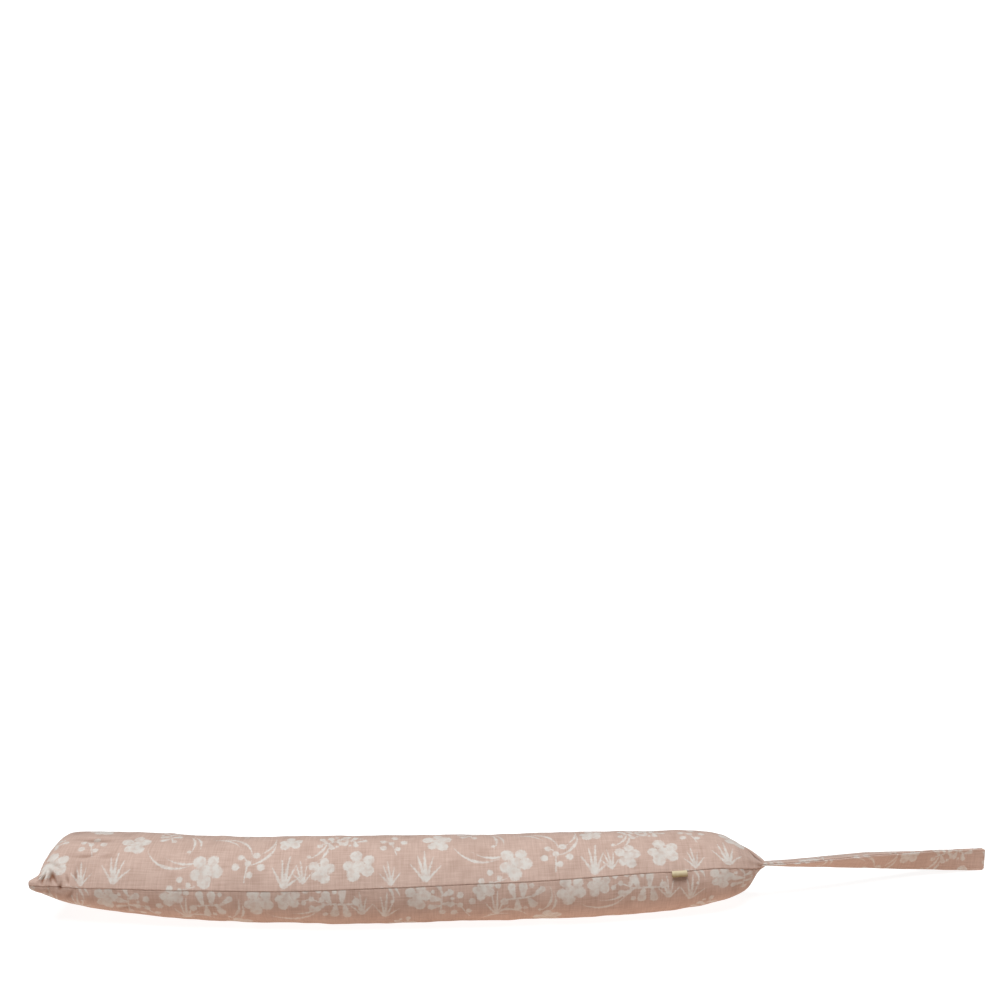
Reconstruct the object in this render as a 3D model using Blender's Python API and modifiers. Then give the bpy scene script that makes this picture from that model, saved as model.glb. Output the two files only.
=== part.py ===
"""Draught excluder: a long stuffed linen cover, a strap loop and a folded tab.

Metres, +Z up. The cover lies along X on the plane z = 0, with its long seam to the
front (-Y), a flat pillow end at -X and a gathered neck at +X, where the strap is sewn in.
Tables are in millimetres and degrees.
"""
import math
from collections import namedtuple

import bpy
import numpy as np

MM = 0.001
PLAN_POINTS = 900
BEVEL_ANGLE_DEG = 60.0

# Finishes: linear colour, roughness
Finish = namedtuple("Finish", "colour roughness")
PRINTED_LINEN = Finish((0.56, 0.41, 0.35), 0.9)
STRAP_LINEN = Finish((0.42, 0.29, 0.22), 0.9)
TAB_COTTON = Finish((0.55, 0.47, 0.30), 0.85)

# Sizes of the stuffed cover
COVER_LENGTH = 848.0
NECK_GAP = 0.3
DENSE_STEP = 3.2
OPEN_STEP = 13.5
LEFT_DENSE = 62.0
RIGHT_DENSE = 78.0
ROUND_STEP_DEG = 8.2
SEAM_ROWS_DEG = (1.3, 3.4, 7.0)

# The long seam: a groove between two low shoulders
GROOVE_DEPTH = 1.3
GROOVE_WIDTH = 1.1
SHOULDER_HEIGHT = 0.9
SHOULDER_PLACE = 3.4
SHOULDER_WIDTH = 2.0

# Puckers where the seam thread draws the cloth in, close to the closed end
PUCKER_HEIGHT = 1.7
PUCKER_PITCH = 13.0
PUCKER_PLACE = 32.0
PUCKER_LENGTH = 30.0
PUCKER_REACH = 17.0
PUCKER_SLANT = 0.25

# Gathers that run into the neck
GATHER_COUNT = 8
GATHER_DEPTH = 0.30
GATHER_LENGTH = 48.0
GATHER_GROWTH = 1.6
GATHER_SHARPNESS = 0.7
GATHER_UNEVEN = 0.35
GATHER_UNEVEN_TURNS = 3
GATHER_UNEVEN_PHASE = 1.0
GATHER_LEFT_AT_NECK = 0.25
GATHER_EASE = 14.0

# The relief of the cloth dies away towards both ends
LEFT_EASE = 40.0
NECK_EASE = 25.0

# Lengthwise creases high on the back of the closed end
CREASE_HEIGHT = 1.5
CREASE_PITCH = 17.0
CREASE_ANGLE = 118.0
CREASE_SPREAD = 20.0
CREASE_PLACE = 62.0
CREASE_LENGTH = 34.0

# The end seam is sunk between two lips of cloth, and its back corner is rounded off
END_GROOVE = 2.6
BACK_CORNER = 11.0
BACK_CORNER_LENGTH = 26.0

# Slow unevenness of the stuffing: height, length along, turns round, phase
Lump = namedtuple("Lump", "height pitch turns phase")
LUMPS = [
    Lump(0.45, 236.0, 2, 0.4),
    Lump(0.35, 148.0, 3, 2.1),
    Lump(0.30, 91.0, 1, 4.0),
]

# One row for each section of the cover, from the closed end to the neck.
# heading turns the axis in plan, edge is 1 for an elliptic side, more for a sharp one and less
# for a blunt one, seam is the seam's angle above the section's front, roll lifts that front.
Section = namedtuple("Section", "along heading half_height half_width edge mid_height seam roll")
SECTIONS = [
    Section(0.0, -9.0, 6.4, 65.8, 0.34, 55.5, 0.0, 0.0),
    Section(1.6, -9.0, 10.0, 67.4, 0.45, 55.4, 0.2, 0.0),
    Section(4.0, -9.0, 14.8, 68.0, 0.64, 55.2, 0.5, 0.0),
    Section(10.0, -9.0, 24.0, 68.0, 0.90, 54.6, 1.0, 0.0),
    Section(20.0, -8.9, 31.8, 67.3, 1.04, 53.6, 2.0, 0.0),
    Section(33.0, -8.8, 36.0, 66.5, 1.06, 52.0, 4.0, 0.0),
    Section(57.0, -8.4, 38.8, 65.0, 1.03, 49.8, 6.5, 0.0),
    Section(80.0, -8.0, 40.6, 63.5, 1.01, 48.4, 9.0, 0.0),
    Section(127.0, -7.0, 44.0, 60.8, 1.00, 46.6, 11.5, 0.0),
    Section(174.0, -5.6, 45.4, 59.3, 0.99, 45.0, 12.0, 0.0),
    Section(243.0, -3.2, 47.6, 58.0, 0.98, 44.4, 11.5, 0.0),
    Section(336.0, -0.4, 49.1, 56.5, 0.97, 44.6, 13.5, 0.0),
    Section(429.0, 2.2, 49.0, 56.5, 0.97, 44.8, 17.0, 0.0),
    Section(522.0, 4.0, 48.2, 56.5, 0.97, 45.0, 20.0, 0.0),
    Section(616.0, 5.2, 47.8, 56.0, 0.97, 44.4, 23.5, 0.0),
    Section(710.0, 7.0, 46.4, 53.5, 0.98, 44.6, 25.5, 0.0),
    Section(760.0, 8.4, 44.4, 50.0, 0.98, 45.2, 26.0, 0.0),
    Section(785.0, 9.4, 40.8, 46.0, 0.98, 45.6, 24.0, 1.5),
    Section(809.0, 10.4, 34.4, 40.0, 0.98, 45.8, 16.0, 6.0),
    Section(821.0, 10.9, 28.0, 33.5, 1.00, 45.6, 6.5, 11.0),
    Section(833.0, 11.4, 18.6, 25.0, 1.00, 45.2, -3.5, 17.0),
    Section(839.0, 11.7, 12.0, 19.0, 1.00, 44.9, -8.5, 19.5),
    Section(844.0, 11.9, 7.2, 15.5, 1.00, 44.6, -12.0, 21.0),
    Section(848.0, 12.0, 5.0, 14.8, 1.00, 44.5, -12.0, 21.0),
]

# Strap: a tape of folded linen, doubled into a loop
TAPE_WIDTH = 28.0
TAPE_THICK = 2.0
RUN_SPACING = 2.7
STRAP_STEP = 9.0
FOLD_STEPS = 7
TAPE_COLUMNS = 3
TAPE_BEVEL = 0.45

# One row for each place along the strap, from the neck to the fold.
# heading turns it in plan, top_height is its upper edge, front_turn and back_turn are how
# far the two runs of tape have turned from lying flat, 0, to standing on edge, 90.
StrapRow = namedtuple("StrapRow", "along heading top_height front_turn back_turn")
STRAP_ROWS = [
    StrapRow(0.0, 12.0, 48.8, 23.0, 20.0),
    StrapRow(66.0, 16.0, 45.0, 35.0, 19.0),
    StrapRow(119.0, 18.5, 43.6, 48.0, 19.0),
    StrapRow(171.0, 20.0, 40.0, 60.0, 21.0),
    StrapRow(224.0, 20.5, 35.2, 72.0, 27.0),
    StrapRow(252.0, 20.5, 32.4, 79.0, 45.0),
    StrapRow(280.0, 20.5, 29.6, 86.0, 78.0),
    StrapRow(293.0, 20.5, 28.1, 89.0, 88.0),
]
STRAP_LENGTH = STRAP_ROWS[-1].along

# Tab: a short tape folded over and caught in the long seam
TAB_PLACE = 737.6
TAB_WIDTH = 18.6
TAB_THICK = 1.0
TAB_BEVEL = 0.2
TabRow = namedtuple("TabRow", "out down")
TAB_FOLD = [
    TabRow(1.7, -0.7),
    TabRow(3.2, -0.7),
    TabRow(4.8, 0.0),
    TabRow(5.9, 1.5),
    TabRow(6.4, 3.4),
    TabRow(6.2, 5.2),
    TabRow(5.3, 6.1),
    TabRow(4.5, 5.3),
    TabRow(4.5, 3.7),
    TabRow(4.1, 2.3),
    TabRow(3.2, 1.4),
    TabRow(1.9, 1.1),
]


def table_column(rows, name):
    return np.array([getattr(row, name) for row in rows], dtype=float)


def read_table(rows, name, along):
    """A column of a table at any place along it, on a smooth curve that never overshoots."""
    x = table_column(rows, "along")
    y = table_column(rows, name)
    slope = np.diff(y) / np.diff(x)
    tangent = np.zeros_like(y)
    tangent[0] = slope[0]
    tangent[-1] = slope[-1]
    same_way = slope[:-1] * slope[1:] > 0.0
    total = np.where(same_way, slope[:-1] + slope[1:], 1.0)
    tangent[1:-1] = np.where(same_way, 2.0 * slope[:-1] * slope[1:] / total, 0.0)
    place = np.clip(np.searchsorted(x, along) - 1, 0, len(x) - 2)
    width = x[place + 1] - x[place]
    u = (along - x[place]) / width
    return (
        y[place] * (1.0 + 2.0 * u) * (1.0 - u) ** 2
        + tangent[place] * width * u * (1.0 - u) ** 2
        + y[place + 1] * u * u * (3.0 - 2.0 * u)
        + tangent[place + 1] * width * u * u * (u - 1.0)
    )


def plan_line(rows, stations, start=(0.0, 0.0)):
    """Plan position and heading, in radians, at stations along a line given by headings."""
    fine = np.linspace(0.0, rows[-1].along, PLAN_POINTS)
    heading = np.radians(read_table(rows, "heading", fine))
    step = fine[1] - fine[0]
    middle = 0.5 * (heading[:-1] + heading[1:])
    x = start[0] + np.concatenate([[0.0], np.cumsum(np.cos(middle)) * step])
    y = start[1] + np.concatenate([[0.0], np.cumsum(np.sin(middle)) * step])
    return np.interp(stations, fine, x), np.interp(stations, fine, y), np.interp(stations, fine, heading)


def bell(value, place, width):
    return np.exp(-(((value - place) / width) ** 2))


def even_steps(low, high, step):
    return np.linspace(low, high, max(2, round((high - low) / step) + 1))


def cover_stations():
    """Places along the cover, close together at its two ends."""
    left = even_steps(0.0, LEFT_DENSE, DENSE_STEP)
    middle = even_steps(LEFT_DENSE, COVER_LENGTH - RIGHT_DENSE, OPEN_STEP)
    right = even_steps(COVER_LENGTH - RIGHT_DENSE, COVER_LENGTH, DENSE_STEP)
    return np.concatenate([left, middle[1:], right[1:]])


def cover_turns():
    """Angles round the cover from its seam, closer together beside the seam, alike on both sides."""
    last = SEAM_ROWS_DEG[-1]
    half = even_steps(last, 180.0, ROUND_STEP_DEG)[1:]
    upper = np.concatenate([SEAM_ROWS_DEG, half])
    lower = 360.0 - upper[-2::-1]
    return np.radians(np.concatenate([[0.0], upper, lower]))


def relief(along, turn, radius):
    """How far the cloth stands out from the plain section, in millimetres."""
    from_seam = (np.mod(turn + math.pi, 2.0 * math.pi) - math.pi) * radius
    groove = -GROOVE_DEPTH * bell(from_seam, 0.0, GROOVE_WIDTH)
    shoulders = SHOULDER_HEIGHT * bell(np.abs(from_seam), SHOULDER_PLACE, SHOULDER_WIDTH)
    puckers = (
        PUCKER_HEIGHT
        * np.cos(2.0 * math.pi * (along - PUCKER_PLACE + PUCKER_SLANT * from_seam) / PUCKER_PITCH)
        * bell(along, PUCKER_PLACE, PUCKER_LENGTH)
        * bell(from_seam, 0.0, PUCKER_REACH)
    )
    round_back = (turn - math.radians(CREASE_ANGLE)) * radius
    creases = (
        CREASE_HEIGHT
        * np.cos(2.0 * math.pi * round_back / CREASE_PITCH)
        * bell(round_back, 0.0, CREASE_SPREAD)
        * bell(along, CREASE_PLACE, CREASE_LENGTH)
    )
    total = groove + shoulders + puckers + creases
    for lump in LUMPS:
        wave = 2.0 * math.pi * along / lump.pitch + lump.turns * turn + lump.phase
        total = total + lump.height * np.sin(wave)
    from_neck = COVER_LENGTH - along
    ease = np.clip(along / LEFT_EASE, 0.0, 1.0) * np.clip(from_neck / NECK_EASE, 0.0, 1.0)
    return total * ease


def gathers(along, turn):
    """Share of the radius left by the folds that run into the neck: round ridges, tight valleys."""
    from_neck = COVER_LENGTH - along
    near = np.clip(1.0 - from_neck / GATHER_LENGTH, 0.0, 1.0)
    fade = near**GATHER_GROWTH * np.clip(from_neck / GATHER_EASE, GATHER_LEFT_AT_NECK, 1.0)
    valley = 1.0 - np.abs(np.sin(0.5 * GATHER_COUNT * turn)) ** GATHER_SHARPNESS
    uneven = 1.0 + GATHER_UNEVEN * np.sin(GATHER_UNEVEN_TURNS * turn + GATHER_UNEVEN_PHASE)
    return 1.0 - GATHER_DEPTH * fade * valley * uneven


def cover_points(stations, turns):
    """Points of the cover's skin, one row for each station, in millimetres."""
    along = stations[:, None]
    turn = turns[None, :]
    half_height = read_table(SECTIONS, "half_height", along)
    half_width = read_table(SECTIONS, "half_width", along)
    edge = read_table(SECTIONS, "edge", along)
    angle = turn + np.radians(read_table(SECTIONS, "seam", along))
    radius = 0.5 * (half_height + half_width)
    swell = (1.0 + relief(along, turn, radius) / radius) * gathers(along, turn)
    forward = half_width * np.cos(angle) * swell
    up = half_height * np.sign(np.sin(angle)) * np.abs(np.sin(angle)) ** edge * swell
    near_end = np.clip(1.0 - along / BACK_CORNER_LENGTH, 0.0, 1.0) ** 2
    forward = np.where(forward < 0.0, forward * (1.0 - near_end * BACK_CORNER / half_width), forward)
    roll = np.radians(read_table(SECTIONS, "roll", along))
    out = forward * np.cos(roll) - up * np.sin(roll)
    rise = forward * np.sin(roll) + up * np.cos(roll)
    x, y, heading = plan_line(SECTIONS, along)
    z = read_table(SECTIONS, "mid_height", along) + rise
    return np.stack([x + np.sin(heading) * out, y - np.cos(heading) * out, np.maximum(z, 0.0)], axis=-1)


def new_object(name, vertices, faces, material):
    mesh = bpy.data.meshes.new(name)
    mesh.from_pydata([tuple(float(c) * MM for c in v) for v in vertices], [], faces)
    mesh.validate()
    mesh.materials.append(material)
    part = bpy.data.objects.new(name, mesh)
    PARTS.objects.link(part)
    part.parent = ORIGIN
    return part


def build_cover(material):
    """The filled cover: a loft from a flat pillow end to a round tube to a gathered neck."""
    grid = cover_points(cover_stations(), cover_turns())
    rows, columns, _ = grid.shape
    vertices = list(grid.reshape(-1, 3))
    faces = []
    for row in range(rows - 1):
        for column in range(columns):
            a = row * columns + column
            b = row * columns + (column + 1) % columns
            faces.append((a, a + columns, b + columns, b))
    middle = columns // 2
    heading = math.radians(SECTIONS[0].heading)
    inward = np.array([math.cos(heading), math.sin(heading), 0.0]) * END_GROOVE
    groove = len(vertices)
    for column in range(1, middle):
        vertices.append(0.5 * (grid[0, column] + grid[0, columns - column]) + inward)
    for column in range(1, middle - 1):
        sunk = groove + column - 1
        faces.append((column, column + 1, sunk + 1, sunk))
        faces.append((sunk, sunk + 1, columns - column - 1, columns - column))
    faces.append((0, 1, groove))
    faces.append((0, groove, columns - 1))
    last_sunk = groove + middle - 2
    faces.append((middle - 1, middle, last_sunk))
    faces.append((last_sunk, middle, middle + 1))
    neck = len(vertices)
    vertices.append(grid[-1].mean(axis=0))
    last = (rows - 1) * columns
    for column in range(columns):
        faces.append((last + column, neck, last + (column + 1) % columns))
    cover = new_object("filled_cover", vertices, faces, material)
    cover.data.shade_smooth()
    return cover


def build_tape(name, first_edge, second_edge, thickness, columns, bevel, material):
    """A tape between two edge lines: an open strip with Solidify, its edges softened by Bevel."""
    across = np.linspace(0.0, 1.0, columns + 1)[None, :, None]
    grid = first_edge[:, None, :] * (1.0 - across) + second_edge[:, None, :] * across
    rows = len(first_edge)
    wide = columns + 1
    faces = []
    for row in range(rows - 1):
        for column in range(columns):
            a = row * wide + column
            faces.append((a, a + 1, a + wide + 1, a + wide))
    tape = new_object(name, list(grid.reshape(-1, 3)), faces, material)
    tape.data.shade_smooth()
    thicken = tape.modifiers.new("thickness", "SOLIDIFY")
    thicken.thickness = thickness * MM
    thicken.offset = 0.0
    thicken.use_even_offset = True
    soften = tape.modifiers.new("soft edges", "BEVEL")
    soften.width = bevel * MM
    soften.segments = 1
    soften.limit_method = "ANGLE"
    soften.angle_limit = math.radians(BEVEL_ANGLE_DEG)
    return tape


def strap_edges():
    """Upper and lower edge lines of the strap's tape: out along the front run, round, and back."""
    neck_x, neck_y, neck_heading = plan_line(SECTIONS, np.array([COVER_LENGTH]))
    heading = neck_heading[0]
    ahead = np.array([math.cos(heading), math.sin(heading), 0.0])
    behind = np.array([-math.sin(heading), math.cos(heading), 0.0])
    stations = even_steps(0.0, STRAP_LENGTH, STRAP_STEP)
    front = np.radians(read_table(STRAP_ROWS, "front_turn", stations))
    back = np.radians(read_table(STRAP_ROWS, "back_turn", stations))
    rise = read_table(STRAP_ROWS, "top_height", stations)
    root = np.array([neck_x[0], neck_y[0], 0.0]) + ahead * NECK_GAP
    lean = 0.5 * (front[0] + back[0])
    to_edge = 0.5 * TAPE_WIDTH * math.cos(lean) + 0.5 * RUN_SPACING * math.sin(lean)
    root = root - behind * to_edge
    x, y, turn = plan_line(STRAP_ROWS, stations, (root[0], root[1]))
    top = np.stack([x, y, rise], axis=-1)
    level = np.stack([-np.sin(turn), np.cos(turn), np.zeros_like(turn)], axis=-1)
    upright = np.array([0.0, 0.0, 1.0])
    middle = (0.5 * (front + back))[:, None]
    apart = (np.sin(middle) * level + np.cos(middle) * upright) * RUN_SPACING
    down_front = np.cos(front)[:, None] * level - np.sin(front)[:, None] * upright
    down_back = np.cos(back)[:, None] * level - np.sin(back)[:, None] * upright
    round_fold = np.linspace(0.0, math.pi, FOLD_STEPS + 2)[1:-1]
    onward = np.array([math.cos(turn[-1]), math.sin(turn[-1]), 0.0])
    fold = [
        top[-1] + apart[-1] * 0.5 * (1.0 - math.cos(a)) + onward * 0.5 * RUN_SPACING * math.sin(a)
        for a in round_fold
    ]
    fold_down = [
        down_front[-1] + (down_back[-1] - down_front[-1]) * 0.5 * (1.0 - math.cos(a))
        for a in round_fold
    ]
    edge = np.concatenate([top, fold, (top + apart)[::-1]])
    down = np.concatenate([down_front, fold_down, down_back[::-1]])
    return edge, edge + down * TAPE_WIDTH


def tab_edges():
    """Edge lines of the tab's tape, folded over below the long seam."""
    place = np.array([TAB_PLACE])
    _, _, heading = plan_line(SECTIONS, place)
    seam = read_table(SECTIONS, "seam", place) + read_table(SECTIONS, "roll", place)
    angle = math.radians(float(seam[0]))
    ends = cover_points(np.array([TAB_PLACE - TAB_WIDTH / 2, TAB_PLACE + TAB_WIDTH / 2]), np.array([0.0]))
    level = np.array([math.sin(heading[0]), -math.cos(heading[0]), 0.0])
    upright = np.array([0.0, 0.0, 1.0])
    out = math.cos(angle) * level + math.sin(angle) * upright
    down = math.sin(angle) * level - math.cos(angle) * upright
    fold = np.array([out * (row.out + GROOVE_DEPTH) + down * row.down for row in TAB_FOLD])
    return ends[0, 0] + fold, ends[1, 0] + fold


def new_material(name, finish):
    material = bpy.data.materials.new(name)
    material.use_nodes = True
    shader = material.node_tree.nodes["Principled BSDF"]
    shader.inputs["Base Color"].default_value = (*finish.colour, 1.0)
    shader.inputs["Roughness"].default_value = finish.roughness
    shader.inputs["Metallic"].default_value = 0.0
    return material


def centre_on_origin(parts):
    """Moves the shared parent so that the object's box is centred on the origin and stands on z = 0."""
    bpy.context.view_layer.update()
    seen = bpy.context.evaluated_depsgraph_get()
    corners = []
    for part in parts:
        mesh = part.evaluated_get(seen).to_mesh()
        corners.extend(part.matrix_world @ vertex.co for vertex in mesh.vertices)
    points = np.array([tuple(corner) for corner in corners])
    low = points.min(axis=0)
    high = points.max(axis=0)
    ORIGIN.location = (-0.5 * (low[0] + high[0]), -0.5 * (low[1] + high[1]), -low[2])
    bpy.context.view_layer.update()


for old in list(bpy.data.objects):
    bpy.data.objects.remove(old, do_unlink=True)

PARTS = bpy.data.collections.new("draught_excluder")
bpy.context.scene.collection.children.link(PARTS)
ORIGIN = bpy.data.objects.new("draught_excluder_origin", None)
PARTS.objects.link(ORIGIN)

filled_cover = build_cover(new_material("printed_linen", PRINTED_LINEN))

strap_top, strap_bottom = strap_edges()
strap_cloth = new_material("strap_linen", STRAP_LINEN)
strap_loop = build_tape(
    "strap_loop", strap_top, strap_bottom, TAPE_THICK, TAPE_COLUMNS, TAPE_BEVEL, strap_cloth
)

tab_left, tab_right = tab_edges()
tab_cloth = new_material("tab_cotton", TAB_COTTON)
seam_tab = build_tape("seam_tab", tab_left, tab_right, TAB_THICK, TAPE_COLUMNS, TAB_BEVEL, tab_cloth)

centre_on_origin([filled_cover, strap_loop, seam_tab])
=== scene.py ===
# %% [markdown]
# # A draught excluder in printed linen
#
# A draught excluder is a long stuffed tube of cloth that lies along the foot of a door. This one
# is sewn from blush linen with a pale flower print. It has one long seam, a flat end like a
# pillow's, and a gathered neck with a strap loop, and a small blank tab is caught in the seam.
#
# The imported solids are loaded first, as a frame that never moves. They give the size and the
# place of everything. Each solid is then dressed with a finer piece of cloth.

# %% Load the solids
import math
from collections import namedtuple

import bmesh
import bpy
import numpy as np
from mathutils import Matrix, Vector
from mathutils.bvhtree import BVHTree


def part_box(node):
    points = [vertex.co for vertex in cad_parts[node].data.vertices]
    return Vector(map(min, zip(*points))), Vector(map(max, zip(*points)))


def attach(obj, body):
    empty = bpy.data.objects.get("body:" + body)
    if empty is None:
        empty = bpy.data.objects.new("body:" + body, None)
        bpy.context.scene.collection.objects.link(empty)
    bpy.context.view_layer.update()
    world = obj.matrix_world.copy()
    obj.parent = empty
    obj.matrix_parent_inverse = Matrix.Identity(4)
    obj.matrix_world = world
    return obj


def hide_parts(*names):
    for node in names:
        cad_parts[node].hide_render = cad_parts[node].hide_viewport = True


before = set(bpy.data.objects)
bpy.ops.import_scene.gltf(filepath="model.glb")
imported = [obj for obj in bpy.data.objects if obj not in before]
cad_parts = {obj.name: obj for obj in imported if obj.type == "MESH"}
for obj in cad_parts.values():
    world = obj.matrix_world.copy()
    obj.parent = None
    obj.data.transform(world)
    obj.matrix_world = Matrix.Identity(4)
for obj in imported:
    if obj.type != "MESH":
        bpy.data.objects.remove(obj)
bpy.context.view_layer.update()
cover_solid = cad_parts["filled_cover"]
print("solids:", sorted(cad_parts))

# %% [markdown]
# ## Units and colours
#
# Lengths that a maker would measure are written in millimetres and turned to metres when a mesh
# is made. Colours are read off as screen colours, in hex, but a shader adds up light, so one
# function turns them to linear values.

# %% Units and colours
MM = 0.001


def linear(colour):
    """A screen colour such as "D4BFB9" as linear red, green, blue and alpha."""
    parts = [int(colour[place:place + 2], 16) / 255.0 for place in (0, 2, 4)]
    light = [part / 12.92 if part <= 0.04045 else ((part + 0.055) / 1.055) ** 2.4 for part in parts]
    return (*light, 1.0)


def bell(value, place, width):
    """A soft hump: 1 at its place, and next to nothing two widths away."""
    return np.exp(-(((value - place) / width) ** 2))


# %% [markdown]
# ## The camera
#
# The cloth lies on the floor and the camera looks down on it a little, from about two and a half
# metres away. It is level from side to side, and aimed high, so the object lies low in the frame.

# %% The camera
CAMERA_PLACE = (-0.0256, -2.3534, 1.13)
CAMERA_TILT_DEG = 15.1
CAMERA_LENS_MM = 77.58
CAMERA_SENSOR_MM = 36.0

camera_data = bpy.data.cameras.new("camera")
camera_data.lens = CAMERA_LENS_MM
camera_data.sensor_width = CAMERA_SENSOR_MM
camera_data.clip_end = 500.0
camera = bpy.data.objects.new("camera", camera_data)
camera.location = CAMERA_PLACE
camera.rotation_euler = (math.radians(90.0 - CAMERA_TILT_DEG), 0.0, 0.0)
bpy.context.scene.collection.objects.link(camera)
bpy.context.scene.camera = camera
print("camera at", CAMERA_PLACE)

# %% [markdown]
# ## The middle line of the stuffed tube
#
# The tube bends gently along the floor, and its section changes from flat to round to gathered.
# To wrap cloth round it, its middle line comes first. The solid is cut by a plane at many
# places, as one would slice a loaf, and the middle of each slice is a point of the line. A
# second set of slices, square to that line, gives the height and width of the section.

# %% The middle line
SLICES = 26
SLICE_INSET = 34.0
NECK_INSET = 7.0
END_PROBE = 30.0
UP = np.array([0.0, 0.0, 1.0])


def cut_outline(solid, place, normal):
    """The corners of the outline that a plane cuts through a solid, in millimetres."""
    shape = bmesh.new()
    shape.from_mesh(solid.data)
    whole = shape.verts[:] + shape.edges[:] + shape.faces[:]
    cut = bmesh.ops.bisect_plane(shape, geom=whole, plane_co=place * MM, plane_no=normal)
    corners = [tuple(part.co) for part in cut["geom_cut"] if isinstance(part, bmesh.types.BMVert)]
    shape.free()
    return np.array(corners) / MM


def middle_line(solid):
    """Points along the middle of the solid, from the closed end to the neck, in millimetres."""
    low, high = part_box("filled_cover")
    places = np.linspace(low.x / MM + SLICE_INSET, high.x / MM - NECK_INSET, SLICES)
    points = []
    for x in places:
        corners = cut_outline(solid, np.array([x, 0.0, 0.0]), (1.0, 0.0, 0.0))
        points.append(0.5 * (corners.min(axis=0) + corners.max(axis=0)))
    return np.array(points)


def to_surface(tree, start, way):
    """How far it is from a point to the solid's surface, in millimetres."""
    hit = tree.ray_cast(Vector(start * MM), Vector(way))
    return hit[3] / MM


def square_to_end(tree, start):
    """The way out through the closed end, square to its seam, from two rays onto that seam."""
    outward = np.array([-1.0, 0.0, 0.0])
    reach = [
        to_surface(tree, start + np.array([0.0, side * END_PROBE, 0.0]), outward)
        for side in (-1.0, 1.0)
    ]
    way = np.array([-1.0, (reach[0] - reach[1]) / (2.0 * END_PROBE), 0.0])
    return way / np.linalg.norm(way)


def furthest(solid, start, way):
    """How far a solid reaches past a point in one direction, in millimetres."""
    return max(np.array(vertex.co) / MM @ way for vertex in solid.data.vertices) - start @ way


cover_tree = BVHTree.FromObject(cover_solid, bpy.context.evaluated_depsgraph_get())
line = middle_line(cover_solid)
line_at = np.concatenate([[0.0], np.cumsum(np.linalg.norm(np.diff(line, axis=0), axis=1))])
first_way = square_to_end(cover_tree, line[0])
last_way = (line[-1] - line[-2]) / np.linalg.norm(line[-1] - line[-2])
to_end = furthest(cover_solid, line[0], first_way)
to_neck = to_surface(cover_tree, line[-1], last_way)
line = np.vstack([line[0] + first_way * to_end, line, line[-1] + last_way * to_neck])
line_at = np.concatenate([[0.0], line_at + to_end, [line_at[-1] + to_end + to_neck]])
cover_length = line_at[-1]
print(f"middle line {cover_length:.1f} mm long, from {line[0].round(1)} to {line[-1].round(1)}")
print("the closed end faces", first_way.round(3))

# %% [markdown]
# The second set of slices is square to the line. Each one says how high and how wide the tube
# is there, and how far its middle lies from the line. They stand close together at the two ends,
# where the section changes fast.

# %% Sections square to the middle line
SECTION_PLACES = (0.6, 2.5, 5, 8, 12, 17, 24, 33, 45, 60, 80, 105, 135, 170, 220, 280, 350, 420, 490,
                  560, 630, 690, 735, 760, 778, 792, 803, 812, 820, 827, 833, 838, 842, 845.5)
WAY_STEP = 12.0
END_REACH = 60.0
Section = namedtuple("Section", "along place level half_width half_height")


def on_line(along):
    return np.array([np.interp(along, line_at, line[:, axis]) for axis in range(3)])


def way_along(along):
    """The level way that the middle line runs at a distance from the closed end."""
    way = on_line(along + WAY_STEP) - on_line(along - WAY_STEP)
    way = way / np.linalg.norm(way)
    from_end = min(along / END_REACH, 1.0)
    way = way * from_end - first_way * (1.0 - from_end)
    way[2] = 0.0
    return way / np.linalg.norm(way)


def section_at(along):
    """The middle, the level way across to the front, and the half sizes of one section."""
    place = on_line(along)
    way = way_along(along)
    level = np.array([way[1], -way[0], 0.0])
    corners = cut_outline(cover_solid, place, way) - place
    across = corners @ level
    height = corners @ UP
    middle_across = 0.5 * (across.max() + across.min())
    middle_up = 0.5 * (height.max() + height.min())
    middle = place + level * middle_across + UP * middle_up
    return Section(along, middle, level, 0.5 * np.ptp(across), 0.5 * np.ptp(height))


sections = [section_at(float(along)) for along in SECTION_PLACES]
for section in sections[::3]:
    wide, high = 2.0 * section.half_width, 2.0 * section.half_height
    print(f"section at {section.along:5.1f} mm: {wide:5.1f} wide, {high:4.1f} high")

# %% [markdown]
# ## The skin: one grid of cloth round the whole tube
#
# Cloth is a grid of threads, so the cover is made as a grid too: rows along the tube and
# columns round it, starting at the long seam. The rows and columns stand close together where
# the cloth is worked hard, at the ends and beside the seam, and wider apart between. Each
# corner of the grid is found by a ray that comes in from outside and stops on the solid, so
# the cloth has the solid's form. Rays aimed at one centre would spread badly over the flat
# end, so they are aimed at a line in the middle of each section instead.

# %% Rows and columns
END_ROWS_MM = 0.85
MIDDLE_ROWS_MM = 2.3
NECK_REACH = 74.0
SEAM_COLUMNS_DEG = (0.18, 0.38, 0.62, 0.95, 1.4, 2.0, 2.7, 3.6)
COLUMN_DEG = 2.02
FIRST_ROW = 0.35
LAST_ROW = 0.5
SeamPlace = namedtuple("SeamPlace", "along angle")
SEAM_LINE = [
    SeamPlace(0, 0.0),
    SeamPlace(10, 1.0),
    SeamPlace(33, 4.0),
    SeamPlace(80, 9.0),
    SeamPlace(174, 12.0),
    SeamPlace(336, 13.5),
    SeamPlace(522, 20.0),
    SeamPlace(710, 25.5),
    SeamPlace(785, 25.5),
    SeamPlace(809, 22.0),
    SeamPlace(821, 17.5),
    SeamPlace(833, 13.5),
    SeamPlace(848, 9.0),
]


def even_steps(low, high, step):
    return np.linspace(low, high, round((high - low) / step) + 1)


def grid_rows():
    closed = even_steps(FIRST_ROW, END_REACH, END_ROWS_MM)
    middle = even_steps(END_REACH, cover_length - NECK_REACH, MIDDLE_ROWS_MM)
    neck = even_steps(cover_length - NECK_REACH, cover_length - LAST_ROW, END_ROWS_MM)
    return np.concatenate([closed, middle[1:], neck[1:]])


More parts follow.
